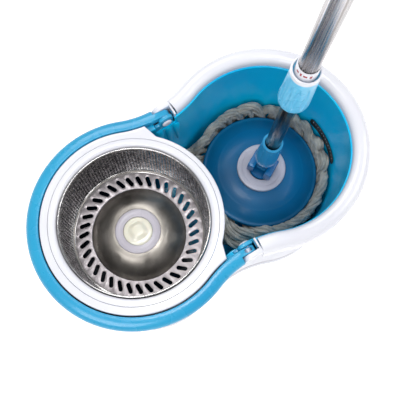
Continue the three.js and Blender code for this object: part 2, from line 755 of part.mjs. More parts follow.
function mopPlate() {
  const bore = STEM_RADIUS + RUN;
  const edge = plateFace(PLATE_RADIUS);
  const bead = PLATE_RADIUS - 6;
  const radii = [0, 0.3, 0.55, 0.8, 1].map((part) => PLATE_FLAT + part * (bead - PLATE_FLAT));
  return turned([
    [bore, -PLATE_THICKNESS],
    ...radii.map((r) => [r, plateFace(r) - PLATE_SHEET]),
    [PLATE_RADIUS - 1, edge - PLATE_SHEET + 0.4],
    [PLATE_RADIUS, edge - 1],
    [PLATE_RADIUS, edge + 1.4],
    [PLATE_RADIUS - 1.6, edge + 3],
    [PLATE_RADIUS - 4, edge + 3.6],
    ...radii.map((r) => [r, plateFace(r)]).reverse(),
    [bore, PLATE_SHEET - PLATE_THICKNESS],
  ], WIDE_SEGMENTS);
}

const RING_SEAT = -0.8 + GAP;
const RING_TOP = 4.6;
function centreRing() {
  return turned([
    [STEM_RADIUS + RUN + 1, RING_SEAT],
    [CENTRE_RING_RADIUS, RING_SEAT],
    [CENTRE_RING_RADIUS, RING_TOP - 1.6],
    [CENTRE_RING_RADIUS - 1.6, RING_TOP],
    [BEVEL_RADIUS + 1.5, RING_TOP],
    [BEVEL_RADIUS, RING_TOP - 1],
    [STEM_RADIUS + RUN + 1, RING_TOP - 1.4],
  ]);
}

const CLIP_TOP = -PLATE_THICKNESS - GAP;
const CLIP = 2.4;
const STEM_FOOT = CLIP_TOP - CLIP - 4;
const STRAND_RING_HEIGHT = 9;
const STRAND_RING_UNDER = CLIP_TOP - STRAND_RING_HEIGHT;
function strandRing() {
  const bore = STEM_RADIUS + 12;
  return turned([
    [bore, STRAND_RING_UNDER],
    [STRAND_RING_RADIUS, STRAND_RING_UNDER],
    [STRAND_RING_RADIUS, plateFace(STRAND_RING_RADIUS) - PLATE_SHEET - GAP],
    [PLATE_FLAT, CLIP_TOP],
    [bore, CLIP_TOP],
  ], WIDE_SEGMENTS);
}

function mopStrands() {
  const foot = -STRAND_FILL;
  const offset = Math.hypot(MOP_OFFSET, MOP_Y);
  const reach = LOBE_RADIUS - tubInset(MOP_Z) - offset - STRAND_CLEAR;
  const footReach = LOBE_RADIUS - tubInset(TUB_FLOOR_Z) - offset - STRAND_CLEAR - 4;
  const roof = STRAND_RING_UNDER - GAP;
  const recess = STRAND_RING_RADIUS + 2;
  const beside = PLATE_RADIUS + 1.5;
  const bundle = turned([
    [0, foot],
    [footReach - 10, foot],
    [footReach, foot + 8],
    [reach - 1, -45],
    [reach, -22],
    [reach - 3, STRAND_CREST],
    [beside, STRAND_CREST - 2],
    [beside, plateFace(PLATE_RADIUS) - PLATE_SHEET - 2],
    [recess, plateFace(recess) - PLATE_SHEET - 1],
    [recess, roof],
    [0, roof],
  ]);
  return geometryOf(solid(bundle).subtract(solid(deckSide())));
}

// The space under the deck's edge, which the strands keep out of so that the mop lifts straight up.
function deckSide() {
  const edge = BASKET_X + DECK_EDGE_RADIUS + 1.5;
  const g = block(edge - LOBE_RADIUS, edge, -LOBE_RADIUS, LOBE_RADIUS, -HEIGHT, HEIGHT);
  return g.applyMatrix4(mopFrame().invert());
}

function swivelBase() {
  const stem = rod(STEM_RADIUS, STEM_FOOT, 6, LATHE_SEGMENTS);
  const groove = tube(STEM_RADIUS - 2, STEM_RADIUS + 2, CLIP_TOP - CLIP - GAP, CLIP_TOP - GAP / 2);
  const half = CLEVIS_DEPTH / 2;
  const side = CLEVIS_WIDTH / 2;
  const cheeks = block(-half, half, -side, side, RING_TOP + 0.6, CLEVIS_TOP);
  const mouth = TONGUE_WIDTH / 2 + RUN;
  const gap = block(-half - 1, half + 1, -mouth, mouth, PIN_HEIGHT - TONGUE_WIDTH / 2 - 1.5, CLEVIS_TOP + 1);
  const drill = crossRod(FORK_PIN_RADIUS + GAP, 0, PIN_HEIGHT, -side - 1, side + 1);
  const made = solid(stem).add(solid(cheeks)).subtract(solid(gap)).subtract(solid(drill));
  return geometryOf(made.subtract(solid(groove)));
}

function stemClip() {
  const shape = new THREE.Shape();
  const mouth = 0.5;
  shape.absarc(0, 0, STEM_RADIUS + 6, mouth, 2 * Math.PI - mouth, false);
  shape.absarc(0, 0, STEM_RADIUS - 2 + GAP, 2 * Math.PI - mouth, mouth, true);
  return plate(shape, CLIP_TOP - CLIP, CLIP_TOP - GAP, 12);
}

const forkPin = () => {
  const side = CLEVIS_WIDTH / 2 + 0.6;
  return crossRod(FORK_PIN_RADIUS, 0, PIN_HEIGHT, -side, side);
};

function poleYoke() {
  const half = TONGUE_WIDTH / 2;
  const shape = new THREE.Shape();
  shape.absarc(0, PIN_HEIGHT, half, -Math.PI, 0, false);
  shape.lineTo(SOCKET_BOTTOM_RADIUS - 3, SOCKET_BOTTOM - 8);
  shape.lineTo(SOCKET_BOTTOM_RADIUS - 3, SOCKET_BOTTOM + 4);
  shape.lineTo(3 - SOCKET_BOTTOM_RADIUS, SOCKET_BOTTOM + 4);
  shape.lineTo(3 - SOCKET_BOTTOM_RADIUS, SOCKET_BOTTOM - 8);
  const tongue = extruded(shape, TONGUE_WIDTH, 10);
  tongue.rotateX(90 * RAD);
  tongue.translate(0, half, 0);
  const bore = LOWER_POLE_RADIUS + GAP;
  const socket = turned([
    [0, SOCKET_BOTTOM - 12],
    [SOCKET_BOTTOM_RADIUS - 4, SOCKET_BOTTOM - 8],
    [SOCKET_BOTTOM_RADIUS, SOCKET_BOTTOM],
    [SOCKET_TOP_RADIUS, SOCKET_TOP],
    [bore, SOCKET_TOP],
    [bore, LOWER_POLE_FOOT - GAP],
    [0, LOWER_POLE_FOOT - GAP],
  ]);
  const drill = crossRod(FORK_PIN_RADIUS + GAP, 0, PIN_HEIGHT, -half - 1, half + 1);
  return geometryOf(solid(tongue).add(solid(socket)).subtract(solid(drill)));
}

// ---- pole ----
const LOWER_POLE_TOP = LOWER_POLE_FOOT + LOWER_POLE_LENGTH;
const UPPER_POLE_TOP = UPPER_POLE_FOOT + UPPER_POLE_LENGTH;
const UPPER_POLE_RADIUS = LOWER_POLE_RADIUS + GAP + POLE_WALL;
const SLEEVE_TOP = SLEEVE_FOOT + SLEEVE_LENGTH;
const lowerPole = () =>
  tube(LOWER_POLE_RADIUS - POLE_WALL, LOWER_POLE_RADIUS, LOWER_POLE_FOOT, LOWER_POLE_TOP);
const upperPole = () =>
  tube(UPPER_POLE_RADIUS - POLE_WALL, UPPER_POLE_RADIUS, UPPER_POLE_FOOT, UPPER_POLE_TOP);

function spiralNut() {
  const bore = (ROD_WIDTH / 2) * Math.SQRT2 + GAP;
  const outer = LOWER_POLE_RADIUS - POLE_WALL - GAP;
  return tube(bore, outer, LOWER_POLE_TOP - 16, LOWER_POLE_TOP - 1, SMALL_SEGMENTS);
}

function spiralRod() {
  const slices = Math.round((ROD_LENGTH / ROD_LEAD) * 8);
  const g = new THREE.BoxGeometry(ROD_WIDTH, ROD_WIDTH, ROD_LENGTH, 1, 1, slices);
  const p = g.attributes.position;
  for (let i = 0; i < p.count; i++) {
    const a = (2 * Math.PI * p.getZ(i)) / ROD_LEAD;
    const [x, y] = [p.getX(i), p.getY(i)];
    p.setXY(i, x * Math.cos(a) - y * Math.sin(a), x * Math.sin(a) + y * Math.cos(a));
  }
  g.translate(0, 0, ROD_TOP - ROD_LENGTH / 2);
  return turnedOut(g);
}

const rodPlug = () => rod(UPPER_POLE_RADIUS - POLE_WALL - GAP, ROD_TOP + GAP, ROD_TOP + 14);

function lockSleeve() {
  const [low, high] = [LOWER_POLE_RADIUS + RUN, UPPER_POLE_RADIUS + RUN];
  const step = UPPER_POLE_FOOT - 1.5;
  return turned([
    [low, SLEEVE_FOOT + 1.5],
    [low + 1.5, SLEEVE_FOOT],
    [SLEEVE_FOOT_RADIUS - 5, SLEEVE_FOOT],
    [SLEEVE_FOOT_RADIUS - 1.5, SLEEVE_FOOT + 2],
    [SLEEVE_FOOT_RADIUS, SLEEVE_FOOT + 7],
    [SLEEVE_TOP_RADIUS, SLEEVE_TOP],
    [high, SLEEVE_TOP],
    [high, step],
    [low, step],
  ]);
}

const lockRing = () =>
  tube(SLEEVE_TOP_RADIUS - RING_WALL, SLEEVE_TOP_RADIUS, SLEEVE_TOP + GAP, SLEEVE_TOP + GAP + RING_HEIGHT);
const lockCollar = () => {
  const inner = UPPER_POLE_RADIUS + GAP;
  return tube(inner, inner + COLLAR_WALL, SLEEVE_TOP + RUN, SLEEVE_TOP + RUN + COLLAR_HEIGHT);
};

function handGrip() {
  const inner = UPPER_POLE_RADIUS + GAP;
  const outer = inner + GRIP_WALL;
  const foot = UPPER_POLE_TOP - GRIP_LENGTH;
  return turned([
    [inner, foot],
    [outer - 1, foot],
    [outer, foot + 4],
    [outer - 1.2, foot + GRIP_LENGTH / 2],
    [outer, UPPER_POLE_TOP - 4],
    [outer, UPPER_POLE_TOP],
    [inner, UPPER_POLE_TOP],
  ]);
}

function endCap() {
  const radius = UPPER_POLE_RADIUS + GAP + GRIP_WALL;
  const z0 = UPPER_POLE_TOP + GAP;
  return turned([
    [0, z0],
    [radius, z0],
    [radius, z0 + END_CAP_LENGTH * 0.45],
    [radius - 3, z0 + END_CAP_LENGTH * 0.85],
    [radius - 8, z0 + END_CAP_LENGTH],
    [0, z0 + END_CAP_LENGTH],
  ]);
}

// ---- assembly ----
const spinMop = new THREE.Group();

function addBucket(parent) {
  piece("outer_bucket", outerBucket(), white, parent);
  piece("inner_tub", innerTub(), tubBlue, parent);
  piece("tub_rim", tubRim(), white, parent);
  piece("basket_deck", basketDeck(), white, parent);
  piece("water_level_strip", levelStrip(), black, parent);
  for (const [word, side] of [["front", -1], ["back", 1]]) {
    piece("pivot_bracket_" + word, pivotBracket(side), white, parent);
    piece("handle_pin_" + word, handlePin(side), white, parent);
  }
  piece("handle_bail", handleBail(), skyBlue, parent);
}

function addBasket(parent) {
  const group = new THREE.Group();
  group.position.set(BASKET_X, 0, 0);
  parent.add(group);
  piece("splash_ring", splashRing(), white, group);
  piece("basket_wall", basketWall(), steel, group);
  piece("basket_floor", basketFloor(), steel, group);
  piece("basket_dome", basketDome(), steel, group);
  piece("hub_ring", hubRing(), lavender, group);
  piece("hub_cap", hubCap(), ivory, group);
  piece("hub_core", hubCore(), white, group);
  piece("hub_carrier", hubCarrier(), white, group);
  piece("spindle", spindle(), steel, group);
  piece("spindle_nut", spindleNut(), steel, group);
  piece("thrust_washer", washer(), nylon, group);
  piece("upper_bush", bush(PEDESTAL_TOP - BUSH_LENGTH), nylon, group);
  piece("lower_bush", bush(PEDESTAL_FOOT + 14), nylon, group);
  piece("pedestal", pedestal(), tubBlue, group);
  for (let i = 0; i < SCREW_COUNT; i++) {
    const mesh = piece("pedestal_screw_" + (i + 1), screw(), steel, group);
    mesh.position.set(...screwPlace(i), 0);
  }
}

function mopFrame() {
  const towards = MOP_LEAN_TOWARDS * RAD;
  const axis = v3(
    Math.sin(MOP_LEAN * RAD) * Math.cos(towards),
    Math.sin(MOP_LEAN * RAD) * Math.sin(towards),
    Math.cos(MOP_LEAN * RAD),
  );
  const frame = new THREE.Object3D();
  frame.quaternion.setFromUnitVectors(v3(0, 0, 1), axis);
  frame.rotateZ(YOKE_TURN * RAD);
  frame.position.set(MOP_X, MOP_Y, MOP_Z);
  frame.updateMatrix();
  return frame.matrix;
}

function addMop(parent) {
  const group = new THREE.Group();
  group.applyMatrix4(mopFrame());
  parent.add(group);
  piece("mop_plate", mopPlate(), plateBlue, group);
  piece("centre_ring", centreRing(), lavender, group);
  piece("strand_ring", strandRing(), white, group);
  piece("mop_strands", mopStrands(), wetCotton, group);
  piece("swivel_base", swivelBase(), plateBlue, group);
  piece("stem_clip", stemClip(), steel, group);
  piece("fork_pin", forkPin(), steel, group);
  piece("pole_yoke", poleYoke(), skyBlue, group);
  piece("lower_pole", lowerPole(), steel, group);
  piece("spiral_nut", spiralNut(), nylon, group);
  piece("spiral_rod", spiralRod(), steel, group);
  piece("rod_plug", rodPlug(), nylon, group);
  piece("upper_pole", upperPole(), steel, group);
  piece("lock_sleeve", lockSleeve(), skyBlue, group);
  piece("lock_ring", lockRing(), white, group);
  piece("lock_collar", lockCollar(), white, group);
  piece("hand_grip", handGrip(), skyBlue, group);
  piece("end_cap", endCap(), skyBlue, group);
}

addBucket(spinMop);
addBasket(spinMop);
addMop(spinMop);

export default spinMop;
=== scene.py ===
import json
import random
from math import acos, atan2, cos, degrees, exp, hypot, pi, radians, sin, sqrt

import bpy
from mathutils import Matrix, Vector


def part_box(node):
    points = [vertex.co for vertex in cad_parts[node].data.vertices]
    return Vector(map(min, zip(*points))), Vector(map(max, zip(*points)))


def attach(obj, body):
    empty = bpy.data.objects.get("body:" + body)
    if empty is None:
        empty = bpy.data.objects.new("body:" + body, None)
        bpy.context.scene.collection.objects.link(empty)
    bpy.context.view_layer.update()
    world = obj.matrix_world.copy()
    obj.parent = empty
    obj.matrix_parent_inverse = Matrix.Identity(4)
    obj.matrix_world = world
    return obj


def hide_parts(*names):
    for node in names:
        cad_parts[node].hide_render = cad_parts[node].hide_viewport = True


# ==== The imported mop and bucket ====
# The bodies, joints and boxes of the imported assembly, which every piece below is placed by.
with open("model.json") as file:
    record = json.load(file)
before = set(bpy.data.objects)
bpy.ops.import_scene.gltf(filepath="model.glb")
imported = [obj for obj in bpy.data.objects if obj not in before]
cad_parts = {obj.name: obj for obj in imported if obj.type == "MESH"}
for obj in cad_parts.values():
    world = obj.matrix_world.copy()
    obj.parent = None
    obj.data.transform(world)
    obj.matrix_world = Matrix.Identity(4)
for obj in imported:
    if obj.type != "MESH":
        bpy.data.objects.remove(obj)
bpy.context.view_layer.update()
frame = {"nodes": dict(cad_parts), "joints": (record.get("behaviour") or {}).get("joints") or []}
joints = {joint["name"]: joint for joint in frame["joints"]}


def let_go():
    """Leaves edit mode with nothing selected."""
    if bpy.context.mode != "OBJECT":
        bpy.ops.object.mode_set(mode="OBJECT")
    bpy.ops.object.select_all(action="DESELECT")


def hold(piece):
    """Selects one piece and makes it the active one."""
    let_go()
    piece.select_set(True)
    bpy.context.view_layer.objects.active = piece


# ==== Studio ====
# A pale paper floor, a pale room round it, and large soft lights hung above and to the sides.
let_go()
bpy.ops.object.camera_add(location=(-0.1306, -0.2143, 1.1355))
camera = bpy.context.object
camera.name = "studio_camera"
looking = Vector((-0.0135, -0.0211, 0.240)) - camera.location
camera.rotation_euler = looking.to_track_quat("-Z", "Y").to_euler()
camera.data.lens = 64.6
camera.data.clip_start = 0.01
bpy.context.scene.camera = camera
bpy.context.scene.view_settings.view_transform = "Standard"


def new_material(name):
    """A material, its node tree, its surface and the place on the object that patterns are read at."""
    made = bpy.data.materials.new(name)
    made.use_nodes = True
    tree = made.node_tree
    place = tree.nodes.new("ShaderNodeTexCoord").outputs["Object"]
    return made, tree, tree.nodes["Principled BSDF"], place


def linked_noise(tree, vector, scale, detail=2.0):
    """Soft noise read at a place, finer as the scale grows."""
    noise = tree.nodes.new("ShaderNodeTexNoise")
    noise.inputs["Scale"].default_value = scale
    noise.inputs["Detail"].default_value = detail
    tree.links.new(vector, noise.inputs["Vector"])
    return noise.outputs["Fac"]


def linked_range(tree, value, low, high, to_low, to_high):
    """A value carried from one range to another."""
    spread = tree.nodes.new("ShaderNodeMapRange")
    for key, number in (("From Min", low), ("From Max", high), ("To Min", to_low), ("To Max", to_high)):
        spread.inputs[key].default_value = number
    tree.links.new(value, spread.inputs["Value"])
    return spread.outputs["Result"]


let_go()
bpy.ops.mesh.primitive_plane_add(size=9)
floor = bpy.context.object
floor.name = "paper_floor"
paper, paper_tree, paper_surface, paper_place = new_material("studio_paper")
paper_fibre = linked_noise(paper_tree, paper_place, 60)
paper_tone = linked_range(paper_tree, paper_fibre, 0, 1, 0.93, 0.95)
paper_tree.links.new(paper_tone, paper_surface.inputs["Base Color"])
paper_surface.inputs["Roughness"].default_value = 0.9
paper_surface.inputs["Emission Color"].default_value = (1, 1, 1, 1)
paper_surface.inputs["Emission Strength"].default_value = 0.35
floor.data.materials.append(paper)

room = bpy.data.worlds.new("pale_room")
bpy.context.scene.world = room
room.use_nodes = True
room_nodes, room_wires = room.node_tree.nodes, room.node_tree.links
room_place = room_nodes.new("ShaderNodeTexCoord")
room_height = room_nodes.new("ShaderNodeSeparateXYZ")
room_shade = room_nodes.new("ShaderNodeValToRGB")
room_shade.color_ramp.elements[0].position = 0.0
room_shade.color_ramp.elements[0].color = (1.0, 1.0, 1.0, 1)
room_shade.color_ramp.elements[1].position = 1.0
room_shade.color_ramp.elements[1].color = (0.34, 0.34, 0.35, 1)
room_wires.new(room_place.outputs["Generated"], room_height.inputs["Vector"])
room_wires.new(room_height.outputs["Z"], room_shade.inputs["Fac"])
room_wires.new(room_shade.outputs["Color"], room_nodes["Background"].inputs["Color"])
room_nodes["Background"].inputs["Strength"].default_value = 0.62

for lamp_name, spot, width, power in (
    ("key_left", (-1.1, -0.7, 1.9), 1.1, 19),
    ("fill_right", (1.3, -0.5, 1.7), 1.0, 10),
    ("back_top", (0.3, 1.3, 1.9), 1.0, 12),
    ("overhead", (0.05, 0.1, 2.4), 0.5, 9),
):
    let_go()
    bpy.ops.object.light_add(type="AREA", location=spot)
    lamp = bpy.context.object
    lamp.name = lamp_name
    lamp.data.size = width
    lamp.data.energy = power
    lamp.rotation_euler = (Vector((0, 0, 0.2)) - Vector(spot)).to_track_quat("-Z", "Y").to_euler()


# ==== Outer bucket ====
# The white polypropylene shell, a figure-eight with two round lobes and a waist, moulded in one.
# Its section is drawn once and spun round the lobes and the waist, and the half is mirrored.
MM = 0.001
LOBE = 140
LOBE_X = 100
WAIST = 121
WAIST_BEND = (LOBE_X**2 + WAIST**2 - LOBE**2) / (2 * (LOBE - WAIST))
WAIST_Y = WAIST + WAIST_BEND
LOBE_SWEEP = pi - atan2(WAIST_Y, LOBE_X)
WAIST_SWEEP = 2 * LOBE_SWEEP - pi
SPIN_STEP = radians(1.5)


def corner(middle_x, middle_z, radius, start, end, steps=5):
    """Points of a rounded corner, in a section's own plane, from one angle to another in degrees."""
    turns = [radians(start + (end - start) * i / steps) for i in range(steps + 1)]
    return [(middle_x + radius * cos(a), middle_z + radius * sin(a)) for a in turns]


def drawn_line(name, places, closed=True):
    """A line through points in millimetres, started as a circle whose corners are put in place."""
    let_go()
    bpy.ops.mesh.primitive_circle_add(vertices=len(places), radius=1)
    line = bpy.context.object
    line.name = line.data.name = name
    for vertex, place in zip(line.data.vertices, places):
        vertex.co = Vector(place) * MM
    if not closed:
        last = len(places) - 1
        for edge in line.data.edges:
            edge.select = set(edge.vertices) == {0, last}
        for vertex in line.data.vertices:
            vertex.select = False
        bpy.ops.object.mode_set(mode="EDIT")
        bpy.ops.mesh.select_mode(type="EDGE")
        bpy.ops.mesh.delete(type="EDGE")
        bpy.ops.mesh.select_mode(type="VERT")
        bpy.ops.object.mode_set(mode="OBJECT")
    return line


def edit_all(piece):
    """Opens a piece in edit mode with all of it selected."""
    hold(piece)
    bpy.ops.object.mode_set(mode="EDIT")
    bpy.ops.mesh.select_mode(type="VERT")
    bpy.ops.mesh.select_all(action="SELECT")


def faced_out(piece):
    """Joins doubled points and turns every face outwards."""
    edit_all(piece)
    bpy.ops.mesh.remove_doubles(threshold=0.01 * MM)
    bpy.ops.mesh.normals_make_consistent(inside=False)
    let_go()


def spin_on(sweep, x, y=0.0):
    """Spins the selected section anticlockwise round an upright axis through (x, y) millimetres."""
    steps = max(2, round(abs(sweep) / SPIN_STEP))
    bpy.ops.mesh.spin(steps=steps, angle=-sweep, center=(x * MM, y * MM, 0), axis=(0, 0, 1))


def settled(piece, modifier_type, **values):
    """Adds a modifier, sets it and applies it."""
    hold(piece)
    modifier = piece.modifiers.new(modifier_type.lower(), modifier_type)
    for key, value in values.items():
        setattr(modifier, key, value)
    bpy.ops.object.modifier_apply(modifier=modifier.name)


def swept_outline(name, section, side, end_x=None, closed=True):
    """A section of (inset, height) carried round the outline from one lobe's far side, then mirrored.
    It goes all the way round, or stops on the waist at end_x with its end closed."""
    piece = drawn_line(name, [(side * (LOBE_X + LOBE - i), 0, z) for i, z in section], closed)
    edit_all(piece)
    spin_on(side * LOBE_SWEEP, side * LOBE_X)
    if end_x is None:
        spin_on(-side * WAIST_SWEEP, 0, WAIST_Y)
        spin_on(side * LOBE_SWEEP, -side * LOBE_X)
    else:
        reach = LOBE_SWEEP - pi / 2 - side * (acos(0) - acos(end_x / WAIST_BEND))
        spin_on(-side * reach, 0, WAIST_Y)
        bpy.ops.mesh.edge_face_add()
    let_go()
    settled(piece, "MIRROR", use_axis=(False, True, False), merge_threshold=0.01 * MM)
    faced_out(piece)
    return piece


def ring_filled(piece, height):
    """Closes the open ring of edges that lies at one height, in millimetres."""
    hold(piece)
    uses = {}
    for face in piece.data.polygons:
        for key in face.edge_keys:
            uses[key] = uses.get(key, 0) + 1
    level = height * MM
    flat = [abs(v.co.z - level) < 0.00002 for v in piece.data.vertices]
    for vertex in piece.data.vertices:
        vertex.select = False
    for face in piece.data.polygons:
        face.select = False
    for edge in piece.data.edges:
        a, b = edge.vertices
        edge.select = uses.get(edge.key, 0) == 1 and flat[a] and flat[b]
    bpy.ops.object.mode_set(mode="EDIT")
    bpy.ops.mesh.select_mode(type="EDGE")
    bpy.ops.mesh.edge_face_add()
    bpy.ops.mesh.select_mode(type="VERT")
    let_go()


def box_block(name, low, high):
    """A block between two corners, in millimetres."""
    let_go()
    bpy.ops.mesh.primitive_cube_add(size=1)
    block = bpy.context.object
    block.name = block.data.name = name
    for vertex in block.data.vertices:
        vertex.co = [(low[k] if vertex.co[k] < 0 else high[k]) * MM for k in range(3)]
    return block


def joined(pieces):
    """Makes one piece of several, under the first one's name."""
    hold(pieces[0])
    for piece in pieces:
        piece.select_set(True)
    bpy.ops.object.join()
    return pieces[0]


def cut(piece, cutter, operation="DIFFERENCE"):
    """Cuts one piece with another, or welds it on, and takes the other away."""
    settled(piece, "BOOLEAN", object=cutter, operation=operation, solver="EXACT")
    bpy.data.objects.remove(cutter)


def ink(red, green, blue):
    """A shader colour from the screen values 0 to 255."""
    screen = [value / 255 for value in (red, green, blue)]
    linear = [c / 12.92 if c < 0.0404 else ((c + 0.055) / 1.055) ** 2.4 for c in screen]
    return (*linear, 1)


def linked_mix(tree, factor, first, second):
    """A colour between two, each a fixed colour or another node's socket."""
    mix = tree.nodes.new("ShaderNodeMix")
    mix.data_type = "RGBA"
    tree.links.new(factor, mix.inputs[0])
    for socket, colour in ((mix.inputs[6], first), (mix.inputs[7], second)):
        if isinstance(colour, tuple):
            socket.default_value = colour
        else:
            tree.links.new(colour, socket)
    return mix.outputs[2]


def linked_bump(tree, height, surface, strength, distance):
    """Raises a surface's skin by a pattern."""
    bump = tree.nodes.new("ShaderNodeBump")
    bump.inputs["Strength"].default_value = strength
    bump.inputs["Distance"].default_value = distance
    tree.links.new(height, bump.inputs["Height"])
    tree.links.new(bump.outputs["Normal"], surface.inputs["Normal"])


def moulded_plastic(name, colour, deeper, shine=0.24, coat=0.35, drift=9.0):
    """Injection-moulded plastic: a slowly drifting tone, a patchy gloss and a faint peel on its skin."""
    made, tree, surface, place = new_material(name)
    slow = linked_range(tree, linked_noise(tree, place, drift), 0.3, 0.7, 0, 1)
    tree.links.new(linked_mix(tree, slow, colour, deeper), surface.inputs["Base Color"])
    gloss = linked_range(tree, linked_noise(tree, place, 45), 0.3, 0.7, shine - 0.04, shine + 0.05)
    tree.links.new(gloss, surface.inputs["Roughness"])
    linked_bump(tree, linked_noise(tree, place, 420), surface, 0.08, 0.0004)
    surface.inputs["Coat Weight"].default_value = coat
    surface.inputs["Coat Roughness"].default_value = 0.08
    return made


def dressed(piece, material, body, slot, *stands_for, smooth=35):
    """Gives a finished piece its material, its body and the nodes it stands for. The slot is not used."""
    piece.data.materials.clear()
    piece.data.materials.append(material)
    hold(piece)
    if smooth:
        bpy.ops.object.shade_smooth_by_angle(angle=radians(smooth))
    let_go()
    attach(piece, body)
    if stands_for:
        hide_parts(*stands_for)
    return piece


rim_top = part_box("tub_rim")[1].z / MM
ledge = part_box("outer_bucket")[1].z / MM
swing_place = Vector(joints["handle_swing"]["pos_m"]) / MM
PIVOT_X, PIVOT_Z = swing_place.x, swing_place.z
SKIRT = 4
shell_foot = 19
skirt_foot = ledge - 17
bucket_section = [
    (shell_foot + 3, 3),
    (12, skirt_foot + 1),
    (11.4, ledge - 3.6),
    (12.4, ledge - 2.5),
    (21, ledge - 2.5),
    (21, ledge),
    *corner(SKIRT + 2, ledge - 2, 2, 90, 180),
    (SKIRT, skirt_foot + 1.4),
    *corner(SKIRT + 1.2, skirt_foot + 1.2, 1.2, 180, 270, 3),
    (SKIRT + 4.0, skirt_foot),
    (9.3, skirt_foot - 1.5),
    (10.8, 168),
    (11.6, 167),
    (11.9, 163),
    (11.3, 162),
    (16.9, 44),
    (16.1, 42.5),
    (16.3, 38),
    (17.4, 36.5),
    (shell_foot - 0.4, 9),
    (shell_foot - 1.6, 8),
    (shell_foot - 1.6, 3),
    *corner(shell_foot + 0.4, 2, 2, 180, 270),
]
bucket = swept_outline("bucket_shell", bucket_section, 1, closed=False)
ring_filled(bucket, 3)
ring_filled(bucket, 0)
faced_out(bucket)

POCKET_X = (PIVOT_X - 17.5, PIVOT_X + 12.5)
POCKET_TOP = 260
bracket_low, bracket_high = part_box("pivot_bracket_back")


def pivot_pockets(name):
    """Cutters for the two recesses at the waist that the handle's brackets stand in."""
    foot = bracket_low.z / MM - 0.3
    near, far = bracket_low.y / MM - 2.9, WAIST - 7
    back = box_block(name, (POCKET_X[0], near, foot), (POCKET_X[1], far, POCKET_TOP))
    front = box_block(name + "_front", (POCKET_X[0], -far, foot), (POCKET_X[1], -near, POCKET_TOP))
    return joined([back, front])


cut(bucket, pivot_pockets("bucket_pockets"))
white_gloss = moulded_plastic("white_polypropylene", ink(236, 237, 243), ink(229, 230, 239), 0.2, 0.4)
dressed(bucket, white_gloss, "bucket", "white_plastic", "outer_bucket")


# ==== Mop lobe's rim ====
# The thick rolled white rim that clips over the tub's edge round the mop's side of the bucket.
# It is a moulded channel with a round crown and a deep outer skirt. It ends beside each pivot, where a
# shoulder of its own closes it.
skirt_low = rim_top - 34
rim_start = PIVOT_X + 14.5
rim_section = [
    (2.4, skirt_low),
    (0.9, skirt_low),
    (0.2, skirt_low + 0.7),
    (0, skirt_low + 3),
    (0, rim_top - 21.2),
    (0.35, rim_top - 20.8),
    (0.35, rim_top - 20.2),
    (0, rim_top - 19.8),
    (0.1, rim_top - 12),
    (0.5, rim_top - 9),
    (1.5, rim_top - 6.0),
    (3.1, rim_top - 3.6),
    (5.3, rim_top - 1.7),
    (8, rim_top - 0.5),
    (11, rim_top),
    (14, rim_top - 0.2),
    (17, rim_top - 1.0),
    (19.4, rim_top - 2.3),
    (21.3, rim_top - 4.2),
    (22.5, rim_top - 6.6),
    (23, rim_top - 9.4),
    (23, ledge + 3.4),
    (22.4, ledge + 2.9),
    (20.6, ledge + 2.9),
    (20.6, rim_top - 7),
    (18, rim_top - 4.6),
    (6, rim_top - 4.6),
    (3, rim_top - 8),
    (2.4, rim_top - 14),
]
rim = swept_outline("rolled_rim", rim_section, 1, rim_start)
dressed(rim, white_gloss, "bucket", "white_plastic", "tub_rim")


# ==== Inner tub ====
# The glossy blue liner that holds the water, dropped into the shell and hung on its flange. Soft pleats run
# down its wall under each pivot to carry the handle. Under the deck its colour is painted darker: painted
# shade, where little light comes in.
tub_blue = moulded_plastic("tub_blue_polypropylene", ink(6, 204, 250), ink(0, 180, 240), 0.22, 0.12, 7)
tub_tree = tub_blue.node_tree
tub_surface = tub_tree.nodes["Principled BSDF"]
tub_surface.inputs["Specular IOR Level"].default_value = 0.35
tub_place = tub_tree.nodes.new("ShaderNodeTexCoord").outputs["Object"]
tub_along = tub_tree.nodes.new("ShaderNodeSeparateXYZ")
tub_tree.links.new(tub_place, tub_along.inputs["Vector"])
# Painted shade: the tub's colour is mixed towards dark navy under the deck, where little light comes in.
painted_shade_under_deck = linked_range(tub_tree, tub_along.outputs["X"], -0.045, -0.012, 1, 0)
tub_tone = tub_surface.inputs["Base Color"].links[0].from_socket
shaded_tone = linked_mix(tub_tree, painted_shade_under_deck, tub_tone, ink(8, 30, 46))
tub_tree.links.new(shaded_tone, tub_surface.inputs["Base Color"])
tub_low, tub_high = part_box("inner_tub")
flange = tub_high.z / MM
TUB_SHEET = 2.2
tub_floor = tub_low.z / MM + TUB_SHEET
TUB_LEAN = 0.07
TUB_INSET = 25


def tub_wall(height):
    """How far the tub's inner face stands in from the outline at a height."""
    return TUB_INSET + (flange - height) * TUB_LEAN


floor_inset = tub_wall(tub_floor)
tub_section = [
    (floor_inset + 9, tub_floor),
    *corner(floor_inset + 8, tub_floor + 8, 8, 270, 180, 6)[:-1],
    (tub_wall(tub_floor + 9), tub_floor + 9),
    (tub_wall(70), 70),
    (tub_wall(71.2) - 0.5, 71.2),
    (tub_wall(150) - 0.5, 150),
    (tub_wall(flange - 3) - 0.4, flange - 3),
    *corner(TUB_INSET - 1.6, flange - 1.6, 1.6, 0, 90, 4),
    (13, flange),
    (12.2, flange - 0.8),
    (12.2, flange - 2),
    (TUB_INSET - 2.9, flange - 2.2),
    (tub_wall(8) - 2.6, 8),
    (floor_inset + 2, tub_floor - 2),
]
tub = swept_outline("blue_tub", tub_section, 1, closed=False)
ring_filled(tub, tub_floor)
ring_filled(tub, tub_floor - 2)
faced_out(tub)
cut(tub, pivot_pockets("tub_pockets"))
RIB_X = (-7, 6, 19)
RIB_ROOT = 0.8
RIB_POINTS = 11


